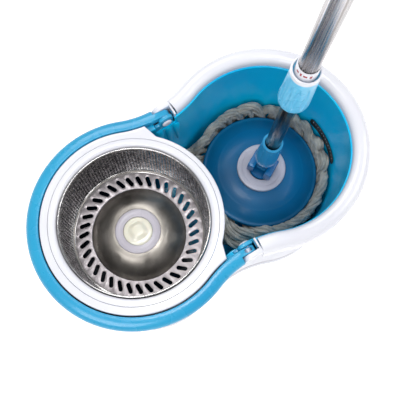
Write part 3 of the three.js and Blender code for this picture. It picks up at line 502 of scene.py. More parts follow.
def tub_rib(name, x, side):
    """One soft pleat of the wall, round-nosed at the top and running out to nothing down the wall."""
    head = bracket_low.z / MM - 2
    drop = 64 - abs(x - PIVOT_X)
    wall_y = WAIST - tub_wall(head)
    arcs = ((0, 0.1, 3.0), (3, 0.9, 4.6), (9, 1.5, 5.4), (drop * 0.35, 1.4, 5.0),
            (drop * 0.6, 1.0, 4.0), (drop, 0.1, 1.6))
    places = []
    for down, out, half in arcs:
        root = wall_y - down * TUB_LEAN + RIB_ROOT
        for k in range(RIB_POINTS):
            a = pi * k / (RIB_POINTS - 1)
            y = root - (out + RIB_ROOT) * sin(a)
            places.append(Vector((x + half * cos(a), side * y, head - down)) * MM)
    walls = []
    for arc in range(len(arcs) - 1):
        for k in range(RIB_POINTS):
            beside = arc * RIB_POINTS + (k + 1) % RIB_POINTS
            walls.append((arc * RIB_POINTS + k, beside, beside + RIB_POINTS, (arc + 1) * RIB_POINTS + k))
    last = len(places) - RIB_POINTS
    ends = [tuple(range(RIB_POINTS)), tuple(range(last, len(places)))]
    made = bpy.data.meshes.new(name)
    made.from_pydata(places, [], walls + ends)
    rib = bpy.data.objects.new(name, made)
    bpy.context.scene.collection.objects.link(rib)
    faced_out(rib)
    return rib


ribs = [tub_rib(f"rib_{i}_{side}", x, side) for side in (-1, 1) for i, x in enumerate(RIB_X)]
rib_set = joined(ribs)
rib_set.name = "tub_ribs"
dressed(tub, tub_blue, "bucket", "tub_blue_plastic", "inner_tub")
dressed(rib_set, tub_blue, "bucket", "tub_blue_plastic")


# ==== Water gauge ====
# A black strip of soft plastic on the tub's wall, bent to the wall's curve, with pale ticks along it.
gauge_low, gauge_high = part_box("water_level_strip")
gauge_middle = (gauge_low.z + gauge_high.z) / 2 / MM
GAUGE_AZIMUTH = -8
GAUGE_SWEEP = 40
GAUGE_HALF = 7.4
TICKS, TICK_PITCH, TICK_SWEEP = 13, 2.75, 0.42
TICK_FIRST, TICK_TOP = -16.5, 5.6
WALL_GAP = 0.75
PRINT_GAP = 1.2


def on_wall(azimuth, height, stand_off):
    """A point on the tub's wall round the mop lobe, stood off it by a few tenths."""
    reach = LOBE - tub_wall(height) - stand_off
    return Vector((LOBE_X + reach * cos(radians(azimuth)), reach * sin(radians(azimuth)), height)) * MM


def wall_patch(name, azimuth, sweep, middle, half, thick, columns, taper=0.0):
    """A thin patch bent to the wall: a grid put in place on it, then given its thickness.
    Taper narrows the last tenth of each end."""
    let_go()
    bpy.ops.mesh.primitive_grid_add(x_subdivisions=columns, y_subdivisions=6, size=2)
    patch = bpy.context.object
    patch.name = patch.data.name = name
    for vertex in patch.data.vertices:
        u, v = vertex.co.x, vertex.co.y
        narrow = 1 - taper * max(0.0, abs(u) - 0.9) / 0.1 * 0.6
        vertex.co = on_wall(azimuth - u * sweep / 2, middle + v * half * narrow, WALL_GAP)
    settled(patch, "SOLIDIFY", thickness=thick * MM, offset=1)
    faced_out(patch)
    return patch


def softened(piece, width, segments=3, angle=60):
    """Rounds the edges sharper than an angle in degrees by a width in millimetres."""
    settled(piece, "BEVEL", width=width * MM, segments=segments, limit_method="ANGLE",
            angle_limit=radians(angle))


gauge = wall_patch("gauge_strip", GAUGE_AZIMUTH, GAUGE_SWEEP, gauge_middle, GAUGE_HALF, 1.1, 48, 1)
softened(gauge, 0.3, 2, 50)
black_rubber = moulded_plastic("black_rubber", ink(18, 20, 24), ink(30, 32, 36), 0.4, 0.1, 60)
dressed(gauge, black_rubber, "bucket", "black_strip", "water_level_strip")
ticks = []
for i in range(TICKS):
    half_tick = 2.0 if i % 4 == 0 else 1.1
    azimuth = GAUGE_AZIMUTH + TICK_FIRST + i * TICK_PITCH
    tick_middle = gauge_middle + TICK_TOP - half_tick
    tick = wall_patch(f"tick_{i}", azimuth, TICK_SWEEP, tick_middle, half_tick, 0.25, 2)
    for vertex in tick.data.vertices:
        outward = vertex.co - Vector((LOBE_X * MM, 0, vertex.co.z))
        vertex.co -= outward.normalized() * PRINT_GAP * MM
    ticks.append(tick)
tick_set = joined(ticks)
tick_set.name = "gauge_ticks"
pale_print = moulded_plastic("pale_print", ink(206, 214, 220), ink(190, 200, 208), 0.5, 0.0, 80)
dressed(tick_set, pale_print, "bucket", "black_strip")


# ==== Deck over the basket lobe ====
# The white cover round the wringer, with a pointed ear at each side of the waist and a round front edge.
# It is spun as a ring about the basket's axis, and its outer edge is then drawn out to the outline.
BASKET_X = -LOBE_X
DECK_INSET = 19.4
DECK_FRONT = 116.8
EAR_X = -24
deck_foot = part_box("basket_deck")[0].z / MM
ring_low, ring_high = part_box("splash_ring")
opening = (ring_high.x - ring_low.x) / 2 / MM
ear_y = WAIST_Y - sqrt((WAIST_BEND + DECK_INSET) ** 2 - EAR_X**2)
ear_angle = atan2(ear_y, EAR_X - BASKET_X)
front_angle = radians(45.4)


def deck_reach(angle):
    """How far the deck's edge is from the basket's axis, towards an angle."""
    a = abs(angle)
    if a <= front_angle:
        return DECK_FRONT
    if a <= ear_angle:
        x1, y1 = DECK_FRONT * cos(front_angle), DECK_FRONT * sin(front_angle)
        x2, y2 = EAR_X - BASKET_X, ear_y
        return (x1 * y2 - x2 * y1) / (cos(a) * (y2 - y1) - sin(a) * (x2 - x1))
    if a >= pi - LOBE_SWEEP:
        return LOBE - DECK_INSET
    along, across, bend = LOBE_X, WAIST_Y, WAIST_BEND + DECK_INSET
    middle = along * cos(a) + across * sin(a)
    return middle - sqrt(middle**2 - along**2 - across**2 + bend**2)


DECK_EDGE = LOBE - DECK_INSET
deck_section = [
    (DECK_EDGE - 2.4, deck_foot),
    (DECK_EDGE, deck_foot),
    (DECK_EDGE, rim_top - 2.4),
    *corner(DECK_EDGE - 2.2, rim_top - 2.2, 2.2, 0, 90),
    (DECK_EDGE - 5, rim_top),
    (opening + 1.0, rim_top),
    (opening + 0.45, rim_top - 0.5),
    (opening + 0.4, rim_top - 3.4),
    (DECK_EDGE - 4, rim_top - 3.4),
    (DECK_EDGE - 2.4, rim_top - 5),
]


def turned_ring(name, section, x=0.0, steps=180, closed=True):
    """A section of (radius, height) turned once round an upright axis."""
    piece = drawn_line(name, [(x + r, 0, z) for r, z in section], closed)
    edit_all(piece)
    bpy.ops.mesh.spin(steps=steps, angle=2 * pi, center=(x * MM, 0, 0), axis=(0, 0, 1))
    let_go()
    faced_out(piece)
    return piece


deck = turned_ring("basket_deck_cover", deck_section, BASKET_X, steps=360)
ear_step = radians(round(degrees(ear_angle)))
for vertex in deck.data.vertices:
    x, y = vertex.co.x / MM - BASKET_X, vertex.co.y / MM
    reach, angle = hypot(x, y), atan2(y, x)
    if reach > opening + 2:
        if abs(abs(angle) - ear_step) < 0.002:
            angle = ear_angle if angle > 0 else -ear_angle
        reach += deck_reach(angle) - DECK_EDGE
        vertex.co.x, vertex.co.y = (BASKET_X + reach * cos(angle)) * MM, reach * sin(angle) * MM
        if abs(angle) < ear_angle + 0.05 and vertex.co.z < (rim_top - 9) * MM:
            vertex.co.z = (rim_top - 12) * MM
faced_out(deck)
dressed(deck, white_gloss, "bucket", "white_plastic", "basket_deck", smooth=30)


# ==== Splash ring ====
# The separate white lip round the basket's opening, rolled over and set flush in the deck.
MOUTH = 99.5
splash_section = [
    (opening, rim_top - 3),
    (opening, rim_top - 0.5),
    (opening - 0.5, rim_top),
    (MOUTH + 5.5, rim_top),
    (MOUTH + 3.4, rim_top - 0.35),
    (MOUTH + 1.8, rim_top - 1.4),
    (MOUTH + 0.6, rim_top - 3.2),
    (MOUTH, rim_top - 6),
    (MOUTH, rim_top - 11.4),
    (MOUTH + 0.6, rim_top - 12),
    (MOUTH + 2, rim_top - 12),
    (MOUTH + 2.5, rim_top - 11.4),
    (MOUTH + 2.7, rim_top - 5),
    (MOUTH + 5, rim_top - 3),
]
splash = turned_ring("splash_lip", splash_section, BASKET_X, steps=240)
dressed(splash, white_gloss, "bucket", "white_plastic", "splash_ring")


# ==== Carrying handle ====
# The sky-blue bail that lies round the basket lobe and swings up on two pins at the waist.
# Its bowed section is swept round the lobe, and a flat tongue is moulded on each end.
bail_top, bail_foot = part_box("handle_bail")[1].z / MM, 226
BAIL = 18
bail_section = [
    *corner(2.0, bail_foot + 2.0, 1.6, 180, 270, 4),
    *corner(BAIL - 1.6, bail_foot + 1.2, 0.8, 270, 360, 3),
    *corner(BAIL - 1.9, bail_top - 1.4, 1.4, 0, 90, 4),
    (13, bail_top),
    (9.5, bail_top - 0.35),
    (6.5, bail_top - 1.2),
    (4.2, bail_top - 2.4),
    (2.4, bail_top - 4.1),
    (1.1, bail_top - 6.2),
    (0.5, bail_top - 8),
]
BAIL_END = -6
bail = swept_outline("carrying_bail", bail_section, -1, BAIL_END)
tongue_low, tongue_high = WAIST - BAIL + 0.3, WAIST - BAIL + 9.3
pin_low, pin_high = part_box("handle_pin_back")


def slab(name, places, shift):
    """A flat outline given its thickness: it is filled, then extruded by a shift in millimetres."""
    piece = drawn_line(name, places)
    edit_all(piece)
    bpy.ops.mesh.edge_face_add()
    bpy.ops.mesh.extrude_region_move(TRANSFORM_OT_translate={"value": Vector(shift) * MM})
    let_go()
    faced_out(piece)
    return piece


def on_side(piece, side):
    """Turns a piece made at the back over to the front, where side is -1."""
    if side < 0:
        for vertex in piece.data.vertices:
            vertex.co.y *= -1
        faced_out(piece)
    return piece


def bail_tongue(name, side):
    """A flat round-ended tongue, drawn in side view, given its width and rounded along its edges."""
    outline = [
        (BAIL_END - 9, bail_foot + 0.2),
        (BAIL_END, bail_foot + 0.2),
        (PIVOT_X - 4.5, PIVOT_Z - 8.4),
        *corner(PIVOT_X, PIVOT_Z, 9.4, -115, 62, 16),
        (BAIL_END + 3, bail_top - 0.4),
        (BAIL_END - 9, bail_top - 0.2),
    ]
    tongue = slab(name, [(x, tongue_low, z) for x, z in outline], (0, tongue_high - tongue_low, 0))
    softened(tongue, 1.2)
    return on_side(tongue, side)


for side in (-1, 1):
    cut(bail, bail_tongue(f"tongue_{side}", side), "UNION")
faced_out(bail)


def upright_slot(name, x, y, half_length, half_width, low, high):
    """An upright oval cutter."""
    round_end = [(x + half_length - half_width + half_width * cos(a), y + half_width * sin(a))
                 for a in [radians(-90 + 18 * i) for i in range(11)]]
    round_end += [(2 * x - px, 2 * y - py) for px, py in round_end]
    return slab(name, [(px, py, low) for px, py in round_end], (0, 0, high - low))


# Only the front tongue has an oval window over its pin.
tongue_middle = (tongue_low + tongue_high) / 2
cut(bail, upright_slot("window", PIVOT_X, -tongue_middle, 5.6, 3.0, PIVOT_Z, bail_top + 4))
faced_out(bail)
sky_blue = moulded_plastic("sky_blue_polypropylene", ink(48, 168, 212), ink(36, 156, 204), 0.26, 0.2, 8)
dressed(bail, sky_blue, "handle", "sky_blue_plastic", "handle_bail")


# ==== Handle pivots ====
# A sky-blue bracket stands in each recess at the waist, and a white pin with a broad head holds the
# handle's tongue to it.
def pivot_bracket(name, side):
    """A round-topped block with a low foot towards the basket, rounded along its edges."""
    near, far = bracket_low.y / MM, bracket_high.y / MM
    x0, x1 = bracket_low.x / MM, bracket_high.x / MM
    foot, head = bracket_low.z / MM, bracket_high.z / MM
    outline = [(x1, foot), *corner(x1 - 7, head - 7, 7, 0, 90, 8), *corner(x0 + 7, head - 7, 7, 90, 180, 8),
               (x0, flange + 2), (x0 - 1, flange + 0.8), (x0 - 7, flange + 0.6), (x0 - 7, foot)]
    bracket = slab(name, [(x, near, z) for x, z in outline], (0, far - near, 0))
    softened(bracket, 1)
    return on_side(bracket, side)


def cross_turned(name, section, x, z):
    """A section of (radius, distance along Y) turned round a level axis through (x, z)."""
    piece = drawn_line(name, [(x + r, d, z) for r, d in section], closed=False)
    edit_all(piece)
    bpy.ops.mesh.spin(steps=40, angle=2 * pi, center=(x * MM, 0, z * MM), axis=(0, 1, 0))
    let_go()
    faced_out(piece)
    return piece


pin_head, shank_end = pin_low.y / MM, pin_high.y / MM
pin_section = [
    (0, pin_head), (4.6, pin_head), (6.2, pin_head + 0.5), (6.9, pin_head + 1.4), (6.9, pin_head + 2.2),
    (4.9, pin_head + 2.4), (4.9, shank_end - 1.2), (4.2, shank_end - 0.3), (0, shank_end - 0.3),
]
for word, side in (("front", -1), ("back", 1)):
    bracket = pivot_bracket("bracket_" + word, side)
    dressed(bracket, sky_blue, "bucket", "white_plastic", "pivot_bracket_" + word)
    pin = on_side(cross_turned("pivot_pin_" + word, pin_section, PIVOT_X, PIVOT_Z), side)
    dressed(pin, white_gloss, "bucket", "white_plastic", "handle_pin_" + word)


# ==== Rim shoulders ====
# The white end of the rim beside each pivot, rounded about the pin so that the bail swings up past it.
# It is one moulding with the rim, made here as a rounded block and a step welded to it.
SHOULDER = 11.4
SHOULDER_TOP = PIVOT_Z + SHOULDER
SHOULDER_IN, SHOULDER_THICK = 8.2, 7.4


def rim_shoulder(name, side):
    """A rounded block outside the tongue, with a step that closes the rim's square end."""
    outline = [*corner(PIVOT_X, PIVOT_Z, SHOULDER, 194, 90, 16), (rim_start + 1.2, SHOULDER_TOP),
               (rim_start + 1.2, ledge + 0.3)]
    shoulder = slab(name, [(x, WAIST - SHOULDER_IN, z) for x, z in outline], (0, SHOULDER_THICK, 0))
    softened(shoulder, 1.4)
    step_low = (rim_start - 1.6, WAIST - 22.8, flange + 0.3)
    step_high = (rim_start + 1.1, WAIST - 7, SHOULDER_TOP - 0.2)
    step = box_block(name + "_step", step_low, step_high)
    softened(step, 1)
    cut(shoulder, step, "UNION")
    faced_out(shoulder)
    return on_side(shoulder, side)


for word, side in (("front", -1), ("back", 1)):
    dressed(rim_shoulder("rim_shoulder_" + word, side), white_gloss, "bucket", "white_plastic", smooth=40)


# ==== Perforated basket wall ====
# The stainless drum that wrings the mop: a sheet punched with rows of round holes and rolled to a slight
# cone. One holed square is modelled, arrayed into the sheet, rolled up, and given its gauge.
COLUMNS, ROWS, PITCH, HOLE = 142, 18, 4.2, 1.56
wall_low, wall_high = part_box("basket_wall")
sheet_foot = wall_low.z / MM + 6.2
sheet_top = sheet_foot + ROWS * PITCH
DRUM_FOOT, DRUM_FLARE, DRUM_SHEET = 92.2, 0.0605, 0.7


def drum(height):
    """The outer radius of the drum at a height."""
    return DRUM_FOOT + (height - wall_low.z / MM) * DRUM_FLARE


let_go()
bpy.ops.mesh.primitive_circle_add(vertices=8, radius=HOLE * MM)
drum_wall = bpy.context.object
drum_wall.name = drum_wall.data.name = "drum_wall"
edit_all(drum_wall)
bpy.ops.mesh.extrude_edges_move()
bpy.ops.object.mode_set(mode="OBJECT")
for vertex in drum_wall.data.vertices:
    if vertex.select:
        vertex.co *= PITCH / 2 * MM / max(abs(vertex.co.x), abs(vertex.co.y))
for count, step in ((COLUMNS, (PITCH * MM, 0, 0)), (ROWS, (0, PITCH * MM, 0))):
    settled(drum_wall, "ARRAY", count=count, use_relative_offset=False, use_constant_offset=True,
            constant_offset_displace=step, use_merge_vertices=True, merge_threshold=0.01 * MM)
for vertex in drum_wall.data.vertices:
    turn = 2 * pi * (vertex.co.x / MM) / (COLUMNS * PITCH)
    height = sheet_foot + PITCH / 2 + vertex.co.y / MM
    vertex.co = Vector((BASKET_X + drum(height) * cos(turn), drum(height) * sin(turn), height)) * MM
faced_out(drum_wall)


def band_drawn(piece, level, new_level):
    """Draws the sheet's open edge at one level out to another as a plain band."""
    hold(piece)
    edge_places = [abs(v.co.z / MM - level) < 0.01 for v in piece.data.vertices]
    for face in piece.data.polygons:
        face.select = False
    for edge in piece.data.edges:
        edge.select = edge_places[edge.vertices[0]] and edge_places[edge.vertices[1]]
    for vertex, chosen in zip(piece.data.vertices, edge_places):
        vertex.select = chosen
    bpy.ops.object.mode_set(mode="EDIT")
    bpy.ops.mesh.select_mode(type="EDGE")
    bpy.ops.mesh.extrude_edges_move()
    bpy.ops.object.mode_set(mode="OBJECT")
    grow = drum(new_level) / drum(level)
    for vertex in piece.data.vertices:
        if vertex.select:
            vertex.co.x = (BASKET_X + (vertex.co.x / MM - BASKET_X) * grow) * MM
            vertex.co.y *= grow
            vertex.co.z = new_level * MM
    let_go()


band_drawn(drum_wall, sheet_top, wall_high.z / MM - 1.6)
band_drawn(drum_wall, sheet_foot, wall_low.z / MM + 0.6)
faced_out(drum_wall)
settled(drum_wall, "SOLIDIFY", thickness=DRUM_SHEET * MM, offset=-1)
faced_out(drum_wall)


def steel_sheet(name, bright, dull, shine, patch_scale, ripple, grain=(1, 1, 1), shine_spread=0.08,
                turned_by=None):
    """Polished stainless steel: its brightness, gloss and flatness wander along the grain."""
    made, tree, surface, place = new_material(name)
    surface.inputs["Metallic"].default_value = 1
    if turned_by is not None:
        lie = tree.nodes.new("ShaderNodeMapping")
        lie.inputs["Location"].default_value = turned_by.to_translation()
        lie.inputs["Rotation"].default_value = turned_by.to_euler()
        tree.links.new(place, lie.inputs["Vector"])
        place = lie.outputs["Vector"]
    stretch = tree.nodes.new("ShaderNodeMapping")
    stretch.inputs["Scale"].default_value = grain
    tree.links.new(place, stretch.inputs["Vector"])
    place = stretch.outputs["Vector"]
    wander = linked_range(tree, linked_noise(tree, place, patch_scale, 4), 0.35, 0.65, 0, 1)
    tree.links.new(linked_mix(tree, wander, bright, dull), surface.inputs["Base Color"])
    scuff = linked_noise(tree, place, patch_scale * 2.3, 3)
    gloss = linked_range(tree, scuff, 0.3, 0.7, shine - shine_spread, shine + shine_spread)
    tree.links.new(gloss, surface.inputs["Roughness"])
    linked_bump(tree, linked_noise(tree, place, patch_scale * 1.4, 2), surface, ripple, 0.0015)
    return made


drum_steel = steel_sheet("drum_steel", ink(178, 177, 178), ink(58, 60, 66), 0.2, 230, 0.7)
dressed(drum_wall, drum_steel, "basket", "stainless", "basket_wall", smooth=30)

BEAD = 1.15
bead_height = wall_high.z / MM - BEAD
bead_section = corner(drum(bead_height) + 0.05, bead_height, BEAD, 0, 330, 11)
bead = turned_ring("drum_bead", bead_section, BASKET_X, steps=240)
polished_steel = steel_sheet("polished_steel", ink(226, 224, 222), ink(176, 175, 176), 0.14, 34, 0.12)
dressed(bead, polished_steel, "basket", "stainless", smooth=60)

foot_level = wall_low.z / MM + 1
foot_radius = drum(foot_level) - 0.75
CRIMP_STEPS = 12
crimp_section = [(foot_radius, foot_level - 0.1), (foot_radius - 2.6, foot_level - 0.1)]
for k in range(CRIMP_STEPS + 1):
    share = k / CRIMP_STEPS
    wave = 0.5 * cos(4 * pi * share)
    crimp_section.append((foot_radius - 0.9 - wave + 0.2 * share, foot_level + 0.5 + 5.04 * share))
crimp_section.append((foot_radius + 0.3, foot_level + 5.9))
crimp = turned_ring("drum_crimp", crimp_section, BASKET_X, steps=240)
dressed(crimp, polished_steel, "basket", "stainless", smooth=60)


# ==== Slotted basket floor ====
# A flat stainless ring with 36 leaning drain slots punched through it, crimped under the wall and the dome.
floor_low, floor_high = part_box("basket_floor")
floor_top, floor_under = floor_high.z / MM, floor_low.z / MM
floor_edge = (floor_high.x - floor_low.x) / 2 / MM
dome_low, dome_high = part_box("basket_dome")
dome_foot = (dome_high.x - dome_low.x) / 2 / MM
SLOTS, SLOT_REACH, SLOT_HALF, SLOT_WIDE, SLOT_LEAN = 36, 76.9, 7.7, 2.85, radians(30)
floor_inner = dome_foot + 0.3
floor_section = [
    (floor_inner, floor_under), (floor_edge, floor_under), (floor_edge, floor_top), (floor_inner, floor_top),
]
drain_floor = turned_ring("drain_floor", floor_section, BASKET_X, steps=216)
slot_cutters = []
for i in range(SLOTS):
    cutter = upright_slot(f"slot_{i}", 0, 0, SLOT_HALF, SLOT_WIDE, floor_under - 2, floor_top + 2)
    turn = 2 * pi * i / SLOTS
    stand = Matrix.Translation(Vector((BASKET_X + SLOT_REACH * cos(turn), SLOT_REACH * sin(turn), 0)) * MM)
    cutter.data.transform(stand @ Matrix.Rotation(turn + SLOT_LEAN, 4, "Z"))
    slot_cutters.append(cutter)
cut(drain_floor, joined(slot_cutters))
faced_out(drain_floor)
softened(drain_floor, 0.25, 2)
satin_steel = steel_sheet("satin_steel", ink(186, 180, 182), ink(168, 162, 165), 0.42, 90, 0.15)
dressed(drain_floor, satin_steel, "basket", "stainless", "basket_floor", smooth=30)


# ==== Basket dome ====
# The pressed and polished dome in the middle of the floor, with six shallow round dimples near its hub.
hub_low, hub_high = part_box("hub_ring")
hub_radius = (hub_high.x - hub_low.x) / 2 / MM
dome_top = dome_high.z / MM
DOME_STEPS = 26
dome_span = dome_foot - hub_radius - 0.3
dome_rise = dome_top - floor_under
crown = []
for k in range(DOME_STEPS + 1):
    share = k / DOME_STEPS
    crown.append((dome_foot - dome_span * share, floor_under + dome_rise * sin(pi / 2 * share) ** 0.9))
hollow = [(r - 0.9 if k < DOME_STEPS else r, max(z - 1.1, floor_under)) for k, (r, z) in enumerate(crown)]
dome = turned_ring("pressed_dome", crown + hollow[:0:-1], BASKET_X, steps=216)
DIMPLES, DIMPLE_REACH, DIMPLE, DIMPLE_DEEP = 6, 47, 8.5, 0.55
for vertex in dome.data.vertices:
    x, y = vertex.co.x / MM - BASKET_X, vertex.co.y / MM
    for k in range(DIMPLES):
        turn = radians(20 + 360 / DIMPLES * k)
        off = hypot(x - DIMPLE_REACH * cos(turn), y - DIMPLE_REACH * sin(turn)) / DIMPLE
        if off < 1:
            vertex.co.z -= DIMPLE_DEEP * (1 - off**2) ** 2 * MM
dome_steel = steel_sheet("dome_steel", ink(190, 184, 176), ink(138, 133, 127), 0.4, 26, 0.12,
                         shine_spread=0.04)
dressed(dome, dome_steel, "basket", "stainless", "basket_dome", smooth=60)


# ==== Hub ====
# A lavender-grey nylon ring on the dome's top holds the cap over the spindle.
# The cap is cloudy ivory plastic, moulded with a soft square boss.
hub_top = hub_high.z / MM
cap_low, cap_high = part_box("hub_cap")
cap_radius = (cap_high.x - cap_low.x) / 2 / MM
hub_section = [
    (cap_radius + 0.3, hub_low.z / MM),
    (hub_radius - 0.6, hub_low.z / MM),
    (hub_radius, hub_low.z / MM + 0.6),
    (hub_radius, hub_top - 0.8),
    (hub_radius - 0.5, hub_top - 0.1),
    (hub_radius - 1.3, hub_top),
    (hub_radius - 1.9, hub_top - 0.5),
    (hub_radius - 2.4, hub_top - 0.8),
    (cap_radius + 2.4, hub_top - 0.8),
    (cap_radius + 1.2, hub_top - 0.5),
    (cap_radius + 0.3, hub_top - 0.5),
]
hub = turned_ring("hub_collar", hub_section, BASKET_X, steps=120)
lavender = moulded_plastic("lavender_nylon", ink(200, 196, 206), ink(186, 181, 192), 0.3, 0.2, 14)
dressed(hub, lavender, "basket", "lavender_plastic", "hub_ring")

cap_edge = hub_top - 0.4
BOSS_RISE, BOSS_HALF, BOSS_SLOPE = 3.2, 13.6, 7.5
cap_section = [
    (0, cap_edge + 1.4),
    (5, cap_edge + 1.38),
    *[(5 + k * 0.8, cap_edge + 1.38 - 0.02 * k) for k in range(1, 15)],
    (17.4, cap_edge + 0.95),
    (18.8, cap_edge + 0.45),
    (cap_radius - 0.3, cap_edge - 0.3),
    (cap_radius, cap_edge - 1.3),
    (cap_radius, cap_low.z / MM + 0.4),
    (cap_radius - 2, cap_low.z / MM + 0.4),
    (cap_radius - 2, cap_edge - 2.2),
    (0, cap_edge - 2.2),
]
cap = turned_ring("hub_cap_boss", cap_section, BASKET_X, steps=96, closed=False)
for vertex in cap.data.vertices:
    x, y, z = vertex.co.x / MM - BASKET_X, vertex.co.y / MM, vertex.co.z / MM
    if z > cap_edge - 1:
        square = (abs(x) ** 3 + abs(y) ** 3) ** (1 / 3)
        rise = min(1.0, max(0.0, (BOSS_HALF - square) / BOSS_SLOPE))
        vertex.co.z += BOSS_RISE * rise * rise * (3 - 2 * rise) * MM
ivory = moulded_plastic("ivory_acetal", ink(242, 240, 226), ink(230, 227, 208), 0.18, 0.6, 30)
ivory_surface = ivory.node_tree.nodes["Principled BSDF"]
ivory_surface.inputs["Subsurface Weight"].default_value = 0.35
ivory_surface.inputs["Subsurface Radius"].default_value = (0.006, 0.005, 0.004)
dressed(cap, ivory, "basket", "ivory_plastic", "hub_cap", smooth=50)


# ==== Pedestal, bearings and carrier ====
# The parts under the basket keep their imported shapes: a blue post screwed to the tub's floor, nylon
# bushes and a washer, the steel spindle with its nut, and the white core and carrier that hold the floor.
nylon = moulded_plastic("natural_nylon", ink(214, 214, 206), ink(202, 202, 194), 0.42, 0.1, 40)
bright_steel = steel_sheet("machined_steel", ink(205, 205, 208), ink(150, 150, 155), 0.26, 120, 0.2,
                           (1, 1, 0.2))


def part_finish(material, *names):
    """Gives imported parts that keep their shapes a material."""
    for name in names:
        packed = frame["nodes"][name].data.materials
        packed.clear()
        packed.append(material)


part_finish(tub_blue, "pedestal")
part_finish(nylon, "upper_bush", "lower_bush", "thrust_washer")
part_finish(white_gloss, "hub_core", "hub_carrier")
part_finish(bright_steel, "spindle", "spindle_nut", *[f"pedestal_screw_{k}" for k in range(1, 5)])


# ==== Mop plate ====
# The blue disc that carries the strands, its blue painted deeper than its own as painted shade, the shade of
# water over it. It is flat round the stem and domed outwards, with a low bead at its edge. The mop leans a
# little: its pieces are modelled upright on its axis and then laid along it.
mop_axis = Vector(joints["plate_spin"]["axis"]).normalized()
tilt_axis = Vector(joints["pole_tilt"]["axis"]).normalized()
tilt_way = tilt_axis.cross(mop_axis)
mop_place = Matrix.Translation(joints["plate_spin"]["pos_m"]) @ Matrix(
    [[tilt_way[k], tilt_axis[k], mop_axis[k]] for k in range(3)]
).to_4x4()
mop_upright = mop_place.inverted()


def laid_on_mop(piece):
    """Lays a piece modelled upright along the mop's own axis."""
    piece.data.transform(mop_place)
    return piece


PLATE_EDGE = 86
PLATE_FLAT = 39
PLATE_FACE = -0.8
PLATE_SHEET = 3.2
PLATE_DROP = 16
PLATE_BORE = 18.1
PLATE_DRAFT = 0.15


def plate_face(r):
    """How high the plate's domed face stands at a radius."""
    return PLATE_FACE - PLATE_DROP * (max(r - PLATE_FLAT, 0) / (PLATE_EDGE - PLATE_FLAT)) ** 2


edge_z = plate_face(PLATE_EDGE)
plate_section = [
    (PLATE_BORE, PLATE_FACE - PLATE_SHEET),
    *[(r, plate_face(r) - PLATE_SHEET) for r in (39, 46, 53, 60, 66, 72, 77, 81, 84)],
    (85.2, edge_z - 2.4),
    (85.8, edge_z - 1.6),
    (PLATE_EDGE, edge_z - 0.4),
    (PLATE_EDGE, edge_z + 1.2),
    (85.6, edge_z + 2.3),
    (84.7, edge_z + 3.1),
    (83.4, edge_z + 3.6),
    (82.2, plate_face(82.2) + 1.0),
    (80.8, plate_face(80.8) + 0.3),
    *[(r, plate_face(r)) for r in (79, 76, 72, 68, 64.4, 63.4)],
    *[(r, plate_face(r) - PLATE_DRAFT) for r in (62.6, 60, 55, 50, 45, 41, 39)],
    (PLATE_BORE, PLATE_FACE - PLATE_DRAFT),
]
mop_disc = turned_ring("mop_disc_plate", plate_section, steps=200)
# Painted shade: the plate's colours are set darker than its own blue, for the shade of water over it.
shaded_plate_blue = moulded_plastic("plate_blue_painted_shade", ink(0, 108, 156), ink(0, 88, 134), 0.34, 0.06, 10)
shaded_plate_blue.node_tree.nodes["Principled BSDF"].inputs["Specular IOR Level"].default_value = 0.3
dressed(laid_on_mop(mop_disc), shaded_plate_blue, "mop_disc", "plate_blue_plastic", "mop_plate")


# ==== Centre ring ====
# The pale nylon bearing ring that snaps round the stem and holds the plate to the fork.
centre_section = [
    (18.5, -0.5), (36, -0.5), (36, 3.0), (35.7, 3.9), (34.9, 4.5), (34.0, 4.6), (30, 4.6), (29.2, 4.4),
    (28.6, 3.9), (28.1, 3.7), (27.2, 3.6), (20, 3.3), (18.9, 3.0), (18.5, 2.4),
]
centre = turned_ring("centre_bearing_ring", centre_section, steps=120)
dressed(laid_on_mop(centre), lavender, "mop_disc", "lavender_plastic", "centre_ring")


# ==== Fork ====
# The deep-blue swivel base: a round stem turning in the centre ring, with two square cheeks that hold the
# steel pin the pole tilts on.
FORK_HALF, FORK_SIDE, FORK_GAP, FORK_TOP = 14, 18.8, 8.1, 27
fork_section = [
    (0, -10.6), (15.4, -10.6), (17.4, -9.6), (17.4, -7.2), (15.7, -7.0), (15.7, -4.2), (17.4, -4.0),
    (17.4, 5.2), (16.6, 6.0), (0, 6.0),
]
fork = turned_ring("swivel_fork", fork_section, steps=96, closed=False)
for side in (-1, 1):
    low_y, high_y = sorted((side * FORK_GAP, side * FORK_SIDE))
    cheek = box_block(f"cheek_{side}", (-FORK_HALF, low_y, 5.2), (FORK_HALF, high_y, FORK_TOP))
    softened(cheek, 1.6)
    cut(fork, cheek, "UNION")
faced_out(fork)
fork_blue = moulded_plastic("fork_blue_polypropylene", ink(0, 118, 176), ink(0, 96, 152), 0.3, 0.15, 20)
dressed(laid_on_mop(fork), fork_blue, "mop_base", "plate_blue_plastic", "swivel_base")
part_finish(bright_steel, "fork_pin", "stem_clip")


# ==== Pole socket ====
# The light-blue yoke: a flat tongue on the fork's pin, swelling into a tapered socket that grips the pole.
# Eight thin ribs stand round the socket and run out up its side.
PIN_Z, TONGUE_END, TONGUE_HALF = 18, 7.4, 7.4
SOCKET_RIBS, RIB_LOW, RIB_HIGH, RIB_TAPER = 8, 60, 106, 0.05
socket_section = [
    (0, 33), (8, 35), (11.4, 40), (14.2, 48), (15.6, 55), (16, 62), (15.7, 72), (14.6, 92), (13.6, 112),
    (13.6, 113.5), (14.1, 114.3), (14.1, 116.2), (13.6, 117), (10.9, 117), (10.3, 116.2), (10.3, 75.7),
    (0, 75.7),
]
socket = turned_ring("pole_socket", socket_section, steps=96, closed=False)
tongue_outline = [
    *corner(0, PIN_Z, TONGUE_END, -180, 0, 16), (10.6, 44), (10.6, 52), (-10.6, 52), (-10.6, 44),
]
yoke = slab("yoke_tongue", [(x, -TONGUE_HALF, z) for x, z in tongue_outline], (0, 2 * TONGUE_HALF, 0))
softened(yoke, 1.2)
cut(socket, yoke, "UNION")
